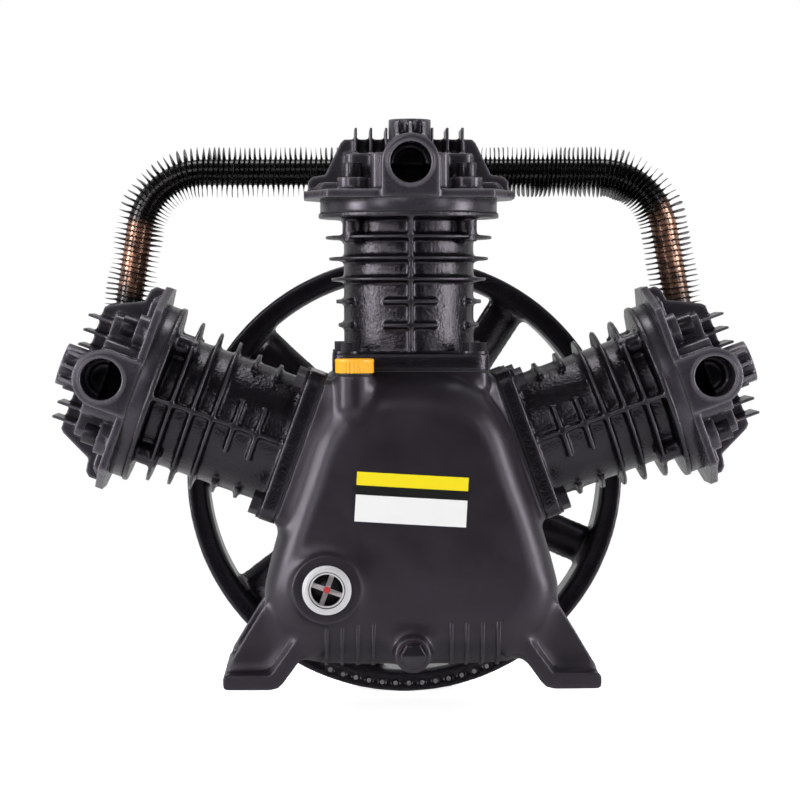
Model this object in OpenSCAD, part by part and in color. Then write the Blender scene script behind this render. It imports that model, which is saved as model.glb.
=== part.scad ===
// Air compressor pump head: three cylinders in a W on one crankcase, driven
// by a fan-spoked belt flywheel. Millimetres, +Z up. The origin is the middle
// of the four foot bolts, on the plane that the feet stand on. The front, with
// the sight glass and the intake ports, looks along -Y.

/* [Cylinders] */
// Bore of each cylinder
bore_d = 90; // [80:1:94]
// Stroke of each piston
stroke = 70; // [60:1:72]
// Angle between the middle cylinder and each side cylinder
bank_angle = 70; // [68:1:74]
// Step along the crankshaft from one cylinder to the next
bank_step = 20; // [19:0.5:22]
// Height of a cylinder casting over its base gasket
cylinder_h = 139; // [136:0.5:148]
// Outer diameter of a cylinder barrel
barrel_d = 116; // [112:1:118]
// Side of the square base flange
base_side = 137; // [134:1:139]
// Thickness of the square base flange
base_t = 14.3; // [10:0.1:18]
// Diameter of the top flange
top_d = 161; // [156:1:166]
// Thickness of the cooling fins on the barrel
fin_t = 3.6; // [2:0.1:5]

/* [Crankcase] */
// Height of the crankshaft axis over the feet
axis_h = 172; // [170:1:180]
// Distance from the crankshaft axis to each cylinder pad
pad_reach = 102.5; // [101:0.5:106]
// Half width of the dome at its widest
dome_half_w = 128; // [126:1:131]
// Height of the dome over the crankshaft axis
dome_top = 100.5; // [98:0.5:102]
// Depth of the sump under the crankshaft axis
sump_depth = 152.5; // [148:0.5:156]
// Distance from the middle cylinder forward to the dome's face
dome_front = 105; // [104:0.5:112]
// Distance from the middle cylinder back to the rear face
case_back = 92; // [91:0.5:96]
// Wall of the crankcase
case_wall = 10; // [9:0.5:12]
// Radius of the dome's front edge
dome_edge_r = 34; // [28:1:36]

/* [Feet] */
// Half of the width over both feet
foot_half_w = 164; // [160:1:172]
// Half of the clear width between the feet
foot_gap_half = 122; // [116:1:126]
// Thickness of the foot plates
foot_t = 11.5; // [9:0.5:14]
// Spacing of the foot bolts across the pump
foot_bolts_x = 292; // [288:1:296]
// Spacing of the foot bolts along the crankshaft
foot_bolts_y = 105; // [95:1:115]
// Diameter of the foot bolt holes
foot_hole_d = 13; // [11:0.5:14]

/* [Heads] */
// Half length of the head's base plate
head_half_len = 93.4; // [92:0.2:98]
// Half depth of the head's base plate
head_half_depth = 74; // [72:0.5:76]
// Thickness of the head's base plate
head_plate_t = 7; // [6:0.5:10]
// Height of the port axis over the head's base
port_h = 30.2; // [29:0.1:32]
// Diameter of an intake port
intake_d = 36; // [30:0.5:38]
// Width of the arched intake boss
intake_boss_w = 50.5; // [48:0.5:54]
// Diameter of a discharge port
outlet_d = 26; // [20:0.5:28]

/* [Flywheel] */
// Outer diameter of the flywheel
wheel_d = 412; // [400:1:420]
// Width of the flywheel rim
wheel_w = 50; // [48:0.5:56]
// Distance from the middle cylinder back to the rim
wheel_start = 140; // [138:1:146]
// Number of fan spokes
spokes = 9; // [5:1:10]
// Width of each fan spoke
spoke_w = 34; // [24:1:40]
// Number of belt grooves
belt_grooves = 2; // [1:1:2]

/* [Discharge tubes] */
// Outer diameter of the discharge tubes
tube_d = 22; // [20:0.5:22]
// Outer diameter of the tube fins
tube_fin_d = 45; // [34:1:48]
// Pitch of the tube fins
tube_fin_pitch = 4.6; // [4:0.1:8]
// Thickness of the tube fins
tube_fin_t = 1; // [0.8:0.1:1.2]
// Bend radius of the tubes at their middle
tube_bend_r = 60; // [50:1:66]
// Distance from the middle cylinder back to the tubes
tube_back = 112; // [111:0.5:116]
// Lean of the left tube's leg
left_lean = 8.5; // [7:0.5:11]
// Lean of the right tube's leg
right_lean = 10.5; // [7:0.5:11]

/* [Hidden] */
$fn = 64;

// The three banks, seen from the front
left = -1;
centre = 0;
right = 1;
banks = [left, centre, right];
both = [0, 1];
signs = [-1, 1];

// Paint and metal colours
case_black = "#2f2e31";
cast_black = "#262528";
head_black = "#333236";
wheel_black = "#29282b";
steel = "#8d9096";
dark_steel = "#3a3a3d";
alloy = "#b9bbbd";
copper = "#8a5a3c";
gasket_grey = "#55565a";
cap_yellow = "#f2a51c";
lens_clear = "#1b1d1f";
seal_black = "#141415";

// Clearances and overrun
fit = 0.03;        // running and sliding fits
seat_gap = 0.3;    // pieces that pass close by
slip = 0.1;        // bolts in their holes
over = 1;          // overrun of every cut
weld = 1;          // sink of one form into the one that carries it

// Stack of pieces along a cylinder's axis, from the crankshaft axis
base_gasket_t = 1;
head_gasket_t = 0.8;
plate_t = 10.5;
base_z = pad_reach + base_gasket_t;
top_z = base_z + cylinder_h;
plate_z = top_z + head_gasket_t;
head_z = plate_z + plate_t + head_gasket_t;
port_z = head_z + port_h;

// Crank and rod
throw = stroke / 2;
crown_gap = 1;
crown_h = 41.5;
rod_len = top_z - crown_gap - throw - crown_h;
function pin_u(i) = -throw * sin(i * bank_angle);
function pin_w(i) = throw * cos(i * bank_angle);
function wrist_w(i) = pin_w(i) + sqrt(pow(rod_len, 2) - pow(pin_u(i), 2));

// Places a cylinder's pieces: +Z runs out along its axis
module in_bank(i) {
    translate([0, i * bank_step, axis_h]) rotate([0, i * bank_angle, 0]) children();
}

// Extrudes a front view outline from y0 back to y1
module along_y(y0, y1) {
    translate([0, y1, 0]) rotate([90, 0, 0]) linear_extrude(y1 - y0) children();
}

// Round bar along Y
module bar_y(r, y0, y1) {
    translate([0, y1, 0]) rotate([90, 0, 0]) cylinder(h = y1 - y0, r = r);
}

// Turns a profile of radius and y round the Y axis
module turned_y() {
    rotate([-90, 0, 0]) rotate_extrude() children();
}

// Square with rounded corners
module soft_square(w, d, r) {
    offset(r) square([w - r * 2, d - r * 2], center = true);
}

// Curve through points, each stretch cut into n steps
function curve_at(a, b, c, d, t) =
    b + (c - a) * t / 2 + (a * 2 - b * 5 + c * 4 - d) * t * t / 2
    + (b * 3 - a - c * 3 + d) * t * t * t / 2;
function curve(p, n) = [
    for (i = [0 : len(p) - 2]) for (k = [0 : n - 1])
        curve_at(p[max(i - 1, 0)], p[i], p[i + 1], p[min(i + 2, len(p) - 1)], k / n)
];

// Dome outline in front view, as shares of its half width and of its height
// over, or depth under, the crankshaft axis
dome_upper_shares = [
    [0, 1], [0.19, 0.99], [0.35, 0.94], [0.5, 0.81], [0.6, 0.66], [0.68, 0.465], [0.78, 0.08]
];
dome_lower_shares = [
    [0.87, 0.16], [0.965, 0.43], [1, 0.61], [0.925, 0.82], [0.76, 0.95], [0.55, 0.995], [0, 1]
];
curve_steps = 3;
dome_half = concat(
    curve(concat(
        [for (p = dome_upper_shares) [p[0] * dome_half_w, p[1] * dome_top]],
        [for (p = dome_lower_shares) [p[0] * dome_half_w, -p[1] * sump_depth]]), curve_steps),
    [[0, -sump_depth]]
);
dome_outline = concat(
    dome_half, [for (k = [len(dome_half) - 2 : -1 : 1]) [-dome_half[k][0], dome_half[k][1]]]
);

// Rings of the dome from the rear face to the middle of the front
dome_mid = (dome_top - sump_depth) / 2;
dome_crown = 4;
face_share = 1 - dome_edge_r / dome_half_w;
edge_step = 15;
dome_rings = concat(
    [[1, case_back]],
    [for (a = [0 : edge_step : 90])
        [1 - (1 - face_share) * (1 - cos(a)),
         dome_crown - dome_front + dome_edge_r * (1 - sin(a))]],
    [for (k = [2 / 3, 1 / 3]) [face_share * k, dome_crown * k * k - dome_front]]
);

module dome_form() {
    n = len(dome_outline);
    rings = len(dome_rings);
    ring_points = [
        for (r = dome_rings) for (p = dome_outline)
            [p[0] * r[0], r[1], dome_mid + (p[1] - dome_mid) * r[0]]
    ];
    front_tip = n * rings;
    rear_tip = front_tip + 1;
    polyhedron(
        points = concat(ring_points, [[0, -dome_front, dome_mid], [0, case_back, dome_mid]]),
        faces = concat(
            [for (r = [0 : rings - 2]) for (k = [0 : n - 1])
                [r * n + k, r * n + (k + 1) % n, (r + 1) * n + (k + 1) % n]],
            [for (r = [0 : rings - 2]) for (k = [0 : n - 1])
                [r * n + k, (r + 1) * n + (k + 1) % n, (r + 1) * n + k]],
            [for (k = [0 : n - 1]) [(rings - 1) * n + k, (rings - 1) * n + (k + 1) % n, front_tip]],
            [for (k = [0 : n - 1]) [(k + 1) % n, k, rear_tip]]
        )
    );
}

// Cylinder pads and their bolts
spigot_wall = 5;
spigot_r = bore_d / 2 + spigot_wall;
spigot_len = 16.5;
pad_start = 55;
pad_corner_r = 10;
base_bolt_r = 6;
base_bolt_at = 56;
base_bolt_len = 17;
base_bolt_across = 18;
base_bolt_head = 7.5;
washer_r = 12;
washer_t = 2.5;

module at_base_bolts() {
    for (x = signs) for (y = signs) translate([x * base_bolt_at, y * base_bolt_at, 0]) children();
}

module pad_block() {
    translate([0, 0, pad_start])
        linear_extrude(pad_reach - pad_start) soft_square(base_side, base_side, pad_corner_r);
}

module pad_cuts() {
    translate([0, 0, pad_start]) cylinder(h = pad_reach - pad_start + over, r = spigot_r + slip);
    translate([0, 0, pad_reach - base_bolt_len - over]) at_base_bolts()
        cylinder(h = base_bolt_len + over * 2, r = base_bolt_r + slip);
}

// Feet: a bent plate along the bottom with gussets set back on it
foot_front = 94;
foot_back = 76;
foot_rise_x = 92;
gusset_set_back = 12;
gusset_t = 10;
gusset_inset = 4;
gusset_top_x = 122;
gusset_top_h = 82;
toe_rise = 6;
sump_clear = axis_h - sump_depth;

module foot_outline() {
    polygon([
        [foot_half_w, 0], [foot_half_w, foot_t], [foot_gap_half + foot_t / 2, foot_t],
        [foot_rise_x + foot_t / 2, sump_clear + foot_t * 1.2], [foot_rise_x - foot_t, sump_clear + foot_t * 1.2],
        [foot_rise_x - foot_t, sump_clear + weld], [foot_rise_x, sump_clear], [foot_gap_half, 0]
    ]);
}

module gusset_outline() {
    polygon([
        [foot_half_w - gusset_inset, foot_t - weld], [foot_half_w - gusset_inset, foot_t + toe_rise],
        [gusset_top_x, gusset_top_h], [foot_rise_x, gusset_top_h],
        [foot_rise_x, sump_clear + foot_t], [foot_gap_half + foot_t / 2, foot_t - weld]
    ]);
}

module foot() {
    along_y(-foot_front, foot_back) foot_outline();
    along_y(gusset_set_back - foot_front, gusset_set_back + gusset_t - foot_front) gusset_outline();
    along_y(foot_back - gusset_set_back - gusset_t, foot_back - gusset_set_back) gusset_outline();
}

// Filler neck
filler_x = -49.5;
filler_y = -87;
filler_neck_r = 16.5;
filler_bore_r = 11;
filler_top = 100;
filler_shoulder = 72;
filler_root = 44;
filler_root_r = 9;
cap_seal_t = 2;
cap_r = 17;
cap_t = 12.6;
cap_plug_len = 8;

// Sight glass
sight_x = -74;
sight_drop = 84;
sight_boss_r = 30;
sight_proud = 2.5;
sight_bore_r = 17;
sight_ring_r = 21.2;
sight_ring_t = 5;
sight_window_r = 13.8;
sight_lens_t = 4;
sight_depth = 13;

// Drain plug
drain_drop = 140.5;
drain_boss_r = 15.5;
drain_proud = 4;
drain_bore_r = 7;
drain_across = 19;
drain_head_t = 9;
drain_flange_r = 12;
drain_flange_t = 2.5;
drain_washer_t = 1.5;
drain_shank = 16;
drain_face = dome_front + drain_proud;

// Cooling ribs under the dome's front
sump_rib_start = 33.5;
sump_rib_pitch = 13.3;
sump_rib_count = 4;
sump_rib_t = 3;
sump_rib_top = 120;
sump_rib_front = 99;
sump_rib_root = 62;

// Shaft, bearings and rear cover
front_journal_r = 17.5;
front_bearing_r = 40;
front_bearing_w = 21;
front_bearing_y = -84;
front_housing_r = 50;
rear_journal_r = 20;
rear_bearing_r = 45;
rear_bearing_w = 23;
cover_gasket_t = 1;
cover_r = 98;
cover_t = 10;
cover_open_r = 82;
cover_spigot_len = 8;
cover_hub_r = 50;
cover_hub_len = 9;
cover_bolt_ring_r = 90;
cover_bolts = 8;
cover_bolt_r = 4;
cover_bolt_len = 16;
cover_bolt_across = 13;
cover_bolt_head = 5.3;
cover_y = case_back + cover_gasket_t;
cover_face = cover_y + cover_t;
rear_bearing_y = cover_y - rear_bearing_w;
seal_r = 31;
seal_w = 10;
seal_y = cover_face + cover_hub_len - seal_w;

cavity_front = dome_crown + dome_edge_r + over * 2 - dome_front;
pocket_front = case_wall + over - dome_front;

module case_cavity() {
    // Crank chamber and sump
    along_y(cavity_front, case_back - case_wall) offset(delta = -case_wall) polygon(dome_outline);
    // Shallow front pocket round the front bearing housing
    difference() {
        along_y(pocket_front, cavity_front + over)
            offset(delta = -dome_edge_r) polygon(dome_outline);
        bar_y(front_housing_r, pocket_front - over, cavity_front + over * 2);
    }
    bar_y(front_bearing_r + fit, front_bearing_y, cavity_front + over * 2);
    bar_y(cover_open_r, case_back - case_wall - over, case_back + over);
}

module at_cover_bolts() {
    for (k = [0 : cover_bolts - 1]) rotate([0, (k + 1 / 2) * 360 / cover_bolts, 0])
        translate([0, 0, cover_bolt_ring_r]) children();
}

module crankcase() {
    color(case_black) difference() {
        union() {
            translate([0, 0, axis_h]) dome_form();
            for (i = banks) in_bank(i) pad_block();
            for (m = both) mirror([m, 0, 0]) foot();
            translate([filler_x, filler_y, axis_h]) {
                translate([0, 0, filler_shoulder])
                    cylinder(h = filler_top - filler_shoulder, r = filler_neck_r);
                translate([0, 0, filler_root])
                    cylinder(h = filler_shoulder - filler_root, r1 = filler_root_r, r2 = filler_neck_r);
            }
            translate([sight_x, 0, axis_h - sight_drop])
                bar_y(sight_boss_r, -dome_front - sight_proud, case_wall - dome_front);
            translate([0, 0, axis_h - drain_drop])
                bar_y(drain_boss_r, -drain_face, -sump_rib_root);
            sump_ribs();
            translate([0, 0, axis_h])
                bar_y(cover_r + slip, case_back - case_wall, case_back);
        }
        translate([0, 0, axis_h]) case_cavity();
        for (i = banks) in_bank(i) pad_cuts();
        for (x = signs) for (y = signs)
            translate([x * foot_bolts_x / 2, y * foot_bolts_y / 2, -over])
                cylinder(h = foot_t + over * 2, d = foot_hole_d);
        translate([filler_x, filler_y, axis_h + filler_root - over])
            cylinder(h = filler_top - filler_root + over * 2, r = filler_bore_r);
        translate([sight_x, 0, axis_h - sight_drop])
            bar_y(sight_bore_r, -dome_front - sight_proud - over, pocket_front + over * 2);
        translate([0, 0, axis_h - drain_drop])
            bar_y(drain_bore_r, -drain_face - over, cavity_front + over);
        translate([0, 0, axis_h]) at_cover_bolts()
            bar_y(cover_bolt_r + slip, case_back - case_wall - over, case_back + over);
    }
}

module sump_ribs() {
    for (s = signs) for (k = [0 : sump_rib_count - 1])
        translate([s * (sump_rib_start + k * sump_rib_pitch) - sump_rib_t / 2, -sump_rib_front,
                   axis_h - sump_depth])
            cube([sump_rib_t, sump_rib_front - sump_rib_root, sump_depth - sump_rib_top]);
}

cap_grips = 20;
cap_grip_r = 1.4;
cap_rim = 3;

module filler_cap() {
    color(cap_yellow) translate([filler_x, filler_y, axis_h + filler_top + cap_seal_t])
        difference() {
            union() {
                cylinder(h = cap_t, r = cap_r);
                translate([0, 0, -cap_seal_t - cap_plug_len])
                    cylinder(h = cap_seal_t + cap_plug_len + weld, r = filler_bore_r - seat_gap);
            }
            for (k = [0 : cap_grips - 1]) rotate([0, 0, k * 360 / cap_grips])
                translate([cap_r + cap_grip_r / 2, 0, -over])
                    cylinder(h = cap_t - cap_rim + over, r = cap_grip_r);
        }
}

module filler_cap_seal() {
    color(seal_black) translate([filler_x, filler_y, axis_h + filler_top]) difference() {
        cylinder(h = cap_seal_t, r = filler_neck_r - over);
        translate([0, 0, -over]) cylinder(h = cap_seal_t + over * 2, r = filler_bore_r);
    }
}

// Places a sight glass piece: y runs back from the boss's face
module at_sight() {
    translate([sight_x, -dome_front - sight_proud, axis_h - sight_drop]) children();
}

module sight_ring() {
    lip = sight_ring_r - sight_window_r;
    color(alloy) at_sight() turned_y() polygon([
        [sight_window_r, sight_lens_t - sight_ring_t + weld], [sight_window_r, -sight_ring_t * 0.7],
        [sight_window_r + lip * 0.2, -sight_ring_t * 0.7], [sight_window_r + lip * 0.3, -sight_ring_t],
        [sight_ring_r - lip * 0.35, -sight_ring_t], [sight_ring_r - lip * 0.3, -sight_ring_t * 0.75],
        [sight_ring_r, -sight_ring_t * 0.7], [sight_ring_r, 0], [sight_bore_r - slip, 0],
        [sight_bore_r - slip, sight_depth], [sight_window_r + fit, sight_depth],
        [sight_window_r + fit, sight_lens_t - sight_ring_t + weld]
    ]);
}

module sight_lens() {
    color(lens_clear) at_sight()
        bar_y(sight_window_r - slip, -sight_ring_t / 2, sight_lens_t - sight_ring_t / 2);
}

// Four-arm reflector behind the window, with a round spot in the middle
module sight_cross() {
    arm = 4.2;
    spot_r = 2.8;
    turn = 20;
    depth = 1.2;
    y0 = sight_lens_t - sight_ring_t / 2;
    color(alloy) at_sight() rotate([0, turn, 0]) {
        for (a = [0, 90]) rotate([0, a, 0])
            translate([-sight_window_r + slip, y0, -arm / 2])
                cube([(sight_window_r - slip) * 2, depth, arm]);
        bar_y(spot_r, y0 + depth - weld, y0 + depth + weld);
    }
}

module drain_plug() {
    color(dark_steel) translate([0, -drain_face - drain_washer_t, axis_h - drain_drop]) {
        bar_y(drain_flange_r, -drain_flange_t, 0);
        translate([0, -drain_flange_t + weld, 0]) rotate([90, 0, 0])
            cylinder(h = drain_head_t, d = drain_across / cos(30), $fn = 6);
        bar_y(drain_bore_r - fit, -weld, drain_shank);
    }
}

module drain_washer() {
    color(copper) translate([0, 0, axis_h - drain_drop]) difference() {
        bar_y(drain_flange_r, -drain_face - drain_washer_t, -drain_face);
        bar_y(drain_bore_r + seat_gap, -drain_face - drain_washer_t - over, over - drain_face);
    }
}

module rear_cover() {
    hub_face = cover_face + cover_hub_len;
    shoulder = 4;
    color(case_black) translate([0, 0, axis_h]) difference() {
        turned_y() polygon([
            [seal_r + fit, hub_face], [seal_r + fit, seal_y], [rear_journal_r + shoulder, seal_y],
            [rear_journal_r + shoulder, cover_y + weld], [rear_bearing_r + fit, cover_y + weld],
            [rear_bearing_r + fit, rear_bearing_y], [rear_bearing_r + cover_t, rear_bearing_y],
            [rear_bearing_r + cover_t, cover_y - cover_spigot_len], [cover_open_r - slip, cover_y - cover_spigot_len],
            [cover_open_r - slip, cover_y], [cover_r, cover_y], [cover_r, cover_face],
            [cover_hub_r + shoulder, cover_face], [cover_hub_r, hub_face]
        ]);
        at_cover_bolts() bar_y(cover_bolt_r + slip, cover_y - over, cover_face + over);
    }
}

module rear_cover_gasket() {
    color(gasket_grey) translate([0, 0, axis_h]) difference() {
        bar_y(cover_r, case_back, cover_y);
        bar_y(cover_open_r, case_back - over, cover_y + over);
        at_cover_bolts() bar_y(cover_bolt_r + slip, case_back - over, cover_y + over);
    }
}

module rear_cover_bolts() {
    color(steel) translate([0, 0, axis_h]) at_cover_bolts() {
        bar_y(cover_bolt_r, cover_face - cover_bolt_len, cover_face + weld);
        translate([0, cover_face + cover_bolt_head, 0]) rotate([90, 0, 0])
            cylinder(h = cover_bolt_head, d = cover_bolt_across / cos(30), $fn = 6);
    }
}

// Crank: two halves, each a web with a counterweight, on a pressed-in crankpin
crankpin_r = 17;
rod_w = 18;
web_t = 17;
web_r = 27;
weight_r = 78;
weight_half_w = 60;
weight_top = 8;
web_y = bank_step + rod_w / 2 + over + seat_gap;
nose_r = 19;
hub_start = cover_face + cover_hub_len + over;
hub_len = 58;
hub_end = hub_start + hub_len;
nut_thread_r = 12;
nut_across = 36;
nut_t = 16;
wheel_washer_t = 4;
shaft_end = hub_end + wheel_washer_t + nut_t + over * 3;
key_w = 10;
key_h = 8;
key_len = 45;
key_y = hub_start + over * 4;

module web_outline() {
    translate([0, throw]) circle(r = web_r);
    translate([-web_r, 0]) square([web_r * 2, throw]);
    intersection() {
        circle(r = weight_r);
        translate([-weight_half_w, -weight_r]) square([weight_half_w * 2, weight_r + weight_top]);
    }
}

module crank_front_half() {
    color(steel) translate([0, 0, axis_h]) {
        along_y(-web_y - web_t, -web_y) web_outline();
        bar_y(front_journal_r + over * 4, front_bearing_y + front_bearing_w, weld - web_y - web_t);
        bar_y(front_journal_r - fit, front_bearing_y, front_bearing_y + front_bearing_w + weld);
    }
}

module crank_rear_half() {
    color(steel) translate([0, 0, axis_h]) difference() {
        union() {
            along_y(web_y, web_y + web_t) web_outline();
            bar_y(rear_journal_r + over * 4, web_y + web_t - weld, rear_bearing_y);
            bar_y(rear_journal_r - fit, rear_bearing_y - weld, hub_start);
            bar_y(nose_r, hub_start - weld, hub_end - over);
            bar_y(nut_thread_r, hub_end - over * 2, shaft_end);
        }
        translate([-key_w / 2 - fit, key_y - fit, nose_r - key_h / 2 - fit])
            cube([key_w + fit * 2, key_len + fit * 2, key_h]);
    }
}

module crankpin() {
    color(alloy) translate([0, 0, axis_h + throw])
        bar_y(crankpin_r, seat_gap - web_y, web_y - seat_gap);
}

// Ball bearing: two rings and a row of balls
module bearing(r_in, r_out, w, balls) {
    ball_r = (r_out - r_in) * 0.28;
    mid_r = (r_out + r_in) / 2;
    race_gap = ball_r * 0.65;
    color(steel) {
        difference() {
            bar_y(mid_r - race_gap, 0, w);
            bar_y(r_in, -over, w + over);
            translate([0, w / 2, 0]) turned_y() translate([mid_r, 0]) circle(r = ball_r + seat_gap / 4);
        }
        difference() {
            bar_y(r_out, 0, w);
            bar_y(mid_r + race_gap, -over, w + over);
            translate([0, w / 2, 0]) turned_y() translate([mid_r, 0]) circle(r = ball_r + seat_gap / 4);
        }
        for (k = [0 : balls - 1]) rotate([0, k * 360 / balls, 0])
            translate([0, w / 2, mid_r]) sphere(r = ball_r);
    }
}
bearing_balls = 8;

module front_bearing() {
    translate([0, front_bearing_y, axis_h])
        bearing(front_journal_r, front_bearing_r, front_bearing_w, bearing_balls);
}

module rear_bearing() {
    translate([0, rear_bearing_y, axis_h])
        bearing(rear_journal_r, rear_bearing_r, rear_bearing_w, bearing_balls);
}

module oil_seal() {
    color(seal_black) translate([0, 0, axis_h]) difference() {
        bar_y(seal_r, seal_y, seal_y + seal_w);
        bar_y(rear_journal_r + seat_gap, seal_y - over, seal_y + seal_w + over);
    }
}

// Flywheel
hub_r = 37;
rim_t = 20;
rim_lip = 5;
rim_step = 4;
rim_edge = 4;
groove_top_w = 16.5;
groove_bottom_w = 10;
groove_depth = 12;
groove_pitch = 19;
spoke_t = 7;
spoke_pitch_angle = 34;
spoke_bow = 5;
spoke_first = 17;
balance_ring_r = wheel_d / 2 - 7.5;
balance_r = 4;
balance_depth = 14;
balance_holes = 13;
balance_from = 249;
balance_to = 293;

module rim_profile() {
    r = wheel_d / 2;
    y0 = wheel_start;
    y1 = wheel_start + wheel_w;
    grooves = [for (k = [belt_grooves - 1 : -1 : 0]) wheel_w / 2 + (k - (belt_grooves - 1) / 2) * groove_pitch];
    polygon(concat(
        [[r - rim_t, y1], [r - rim_edge / 2, y1], [r, y1 - rim_edge / 2]],
        [for (g = grooves) for (p = [
            [0, groove_top_w / 2], [-groove_depth, groove_bottom_w / 2],
            [-groove_depth, -groove_bottom_w / 2], [0, -groove_top_w / 2]])
            [r + p[0], y0 + g + p[1]]],
        [[r, y0 + rim_edge / 2], [r - rim_edge / 2, y0], [r - rim_lip, y0],
         [r - rim_lip - rim_step / 4, y0 + rim_step / 2], [r - rim_t + rim_edge, y0 + rim_step / 2],
         [r - rim_t, y0 + rim_step * 2]]
    ));
}

// One fan blade: a bowed section carried out from the hub to the rim
spoke_steps = 6;
module spoke() {
    half = spoke_w / 2 / cos(spoke_pitch_angle);
    arc = [for (k = [-spoke_steps / 2 : spoke_steps / 2])
        let(t = k * 2 / spoke_steps) [t * half, spoke_bow * t * t]];
    section = concat(
        [for (p = arc) [p[0], p[1] - spoke_t / 2]],
        [for (k = [len(arc) - 1 : -1 : 0]) [arc[k][0], arc[k][1] + spoke_t / 2]]
    );
    translate([0, wheel_start + wheel_w / 2, hub_r - over * 4])
        linear_extrude(wheel_d / 2 - rim_t - hub_r + over * 6)
            rotate(spoke_pitch_angle) polygon(section);
}

module flywheel() {
    color(wheel_black) translate([0, 0, axis_h]) difference() {
        union() {
            turned_y() rim_profile();
            bar_y(hub_r, hub_start, hub_end);
            for (k = [0 : spokes - 1]) rotate([0, 90 - spoke_first - k * 360 / spokes, 0]) spoke();
        }
        bar_y(nose_r + fit, hub_start - over, hub_end + over);
        translate([-key_w / 2 - fit, hub_start - over, 0])
            cube([key_w + fit * 2, hub_end - hub_start + over * 2, nose_r + key_h / 2 + fit]);
        for (k = [0 : balance_holes - 1])
            rotate([0, 90 - balance_from - k * (balance_to - balance_from) / (balance_holes - 1), 0])
                translate([0, 0, balance_ring_r])
                    bar_y(balance_r, wheel_start - over, wheel_start + balance_depth);
    }
}

module flywheel_key() {
    color(steel) translate([-key_w / 2, key_y, axis_h + nose_r - key_h / 2])
        cube([key_w, key_len, key_h]);
}

module flywheel_washer() {
    color(steel) translate([0, 0, axis_h]) difference() {
        bar_y(nose_r + over * 6, hub_end, hub_end + wheel_washer_t);
        bar_y(nut_thread_r + slip, hub_end - over, hub_end + wheel_washer_t + over);
    }
}

module flywheel_nut() {
    y0 = hub_end + wheel_washer_t;
    color(steel) translate([0, 0, axis_h]) difference() {
        translate([0, y0 + nut_t, 0]) rotate([90, 0, 0])
            cylinder(h = nut_t, d = nut_across / cos(30), $fn = 6);
        bar_y(nut_thread_r + slip, y0 - over, y0 + nut_t + over);
    }
}

// Cylinder casting
stub_heights = [143, 164];
stub_reach = [62.8, 64.8];
fin_heights = [183.6, 202, 220.8];
fin_reach = [69, 71.3, 74.3];
top_flange_t = 4.5;
rib_t = 3;
stub_front_arc = 46;
stub_side_arc = 66;
head_bolt_u = 50;
head_bolt_y = 42;
head_bolt_r = 6;
head_bolt_boss_r = 9;
head_bolt_boss_len = 26;
base_corner_r = 12;

module barrel_profile() {
    r = barrel_d / 2;
    polygon(concat(
        [[bore_d / 2, pad_reach - spigot_len], [spigot_r, pad_reach - spigot_len], [spigot_r, base_z + weld],
         [r, base_z + weld]],
        [for (k = [0 : len(fin_heights) - 1]) for (p = [
            [0, -fin_t * 0.6], [1, -fin_t * 0.35], [1, fin_t * 0.35], [0, fin_t * 0.6]])
            [r + p[0] * (fin_reach[k] - r), fin_heights[k] + p[1]]],
        [[r, top_z - top_flange_t * 1.3], [top_d / 2, top_z - top_flange_t], [top_d / 2, top_z],
         [bore_d / 2, top_z]]
    ));
}

module stub_arc(z, reach, from, sweep) {
    translate([0, 0, z]) rotate([0, 0, from]) rotate_extrude(angle = sweep)
        translate([barrel_d / 2 - weld, -fin_t / 2]) square([reach - barrel_d / 2 + weld, fin_t]);
}

module cylinder_casting() {
    rib_reach = concat([barrel_d / 2 + rib_t], stub_reach, fin_reach, [top_d / 2]);
    rib_height = concat([base_z + base_t - weld], stub_heights, fin_heights, [top_z - top_flange_t + weld]);
    color(cast_black) difference() {
        union() {
            rotate_extrude() barrel_profile();
            translate([0, 0, base_z]) linear_extrude(base_t) soft_square(base_side, base_side, base_corner_r);
            for (k = [0 : len(stub_heights) - 1]) for (a = [0, 180]) {
                stub_arc(stub_heights[k], stub_reach[k], a - 90 - stub_front_arc / 2, stub_front_arc);
                stub_arc(stub_heights[k], stub_reach[k], a - stub_side_arc / 2, stub_side_arc);
            }
            // Front and back ribs that tie the fins together
            for (a = [-90, 90]) rotate([0, 0, a]) translate([0, rib_t / 2, 0]) rotate([90, 0, 0])
                linear_extrude(rib_t) polygon(concat(
                    [for (k = [0 : len(rib_reach) - 1]) [rib_reach[k], rib_height[k]]],
                    [[barrel_d / 2 - weld, rib_height[len(rib_height) - 1]],
                     [barrel_d / 2 - weld, rib_height[0]]]));
            at_head_bolts(top_z - head_bolt_boss_len)
                cylinder(h = head_bolt_boss_len - weld, r = head_bolt_boss_r);
        }
        translate([0, 0, pad_reach - spigot_len - over])
            cylinder(h = top_z - pad_reach + spigot_len + over * 2, d = bore_d);
        translate([0, 0, base_z - over]) at_base_bolts()
            cylinder(h = base_t + over * 2, r = base_bolt_r + slip);
        at_head_bolts(top_z - head_bolt_boss_len + rib_t)
            cylinder(h = head_bolt_boss_len, r = head_bolt_r + slip);
    }
}

module at_head_bolts(z) {
    for (u = signs) for (y = signs) translate([u * head_bolt_u, y * head_bolt_y, z]) children();
}

module base_gasket() {
    color(gasket_grey) translate([0, 0, pad_reach]) difference() {
        linear_extrude(base_gasket_t) soft_square(base_side, base_side, base_corner_r);
        translate([0, 0, -over]) cylinder(h = base_gasket_t + over * 2, r = spigot_r + slip);
        translate([0, 0, -over]) at_base_bolts()
            cylinder(h = base_gasket_t + over * 2, r = base_bolt_r + slip);
    }
}

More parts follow.
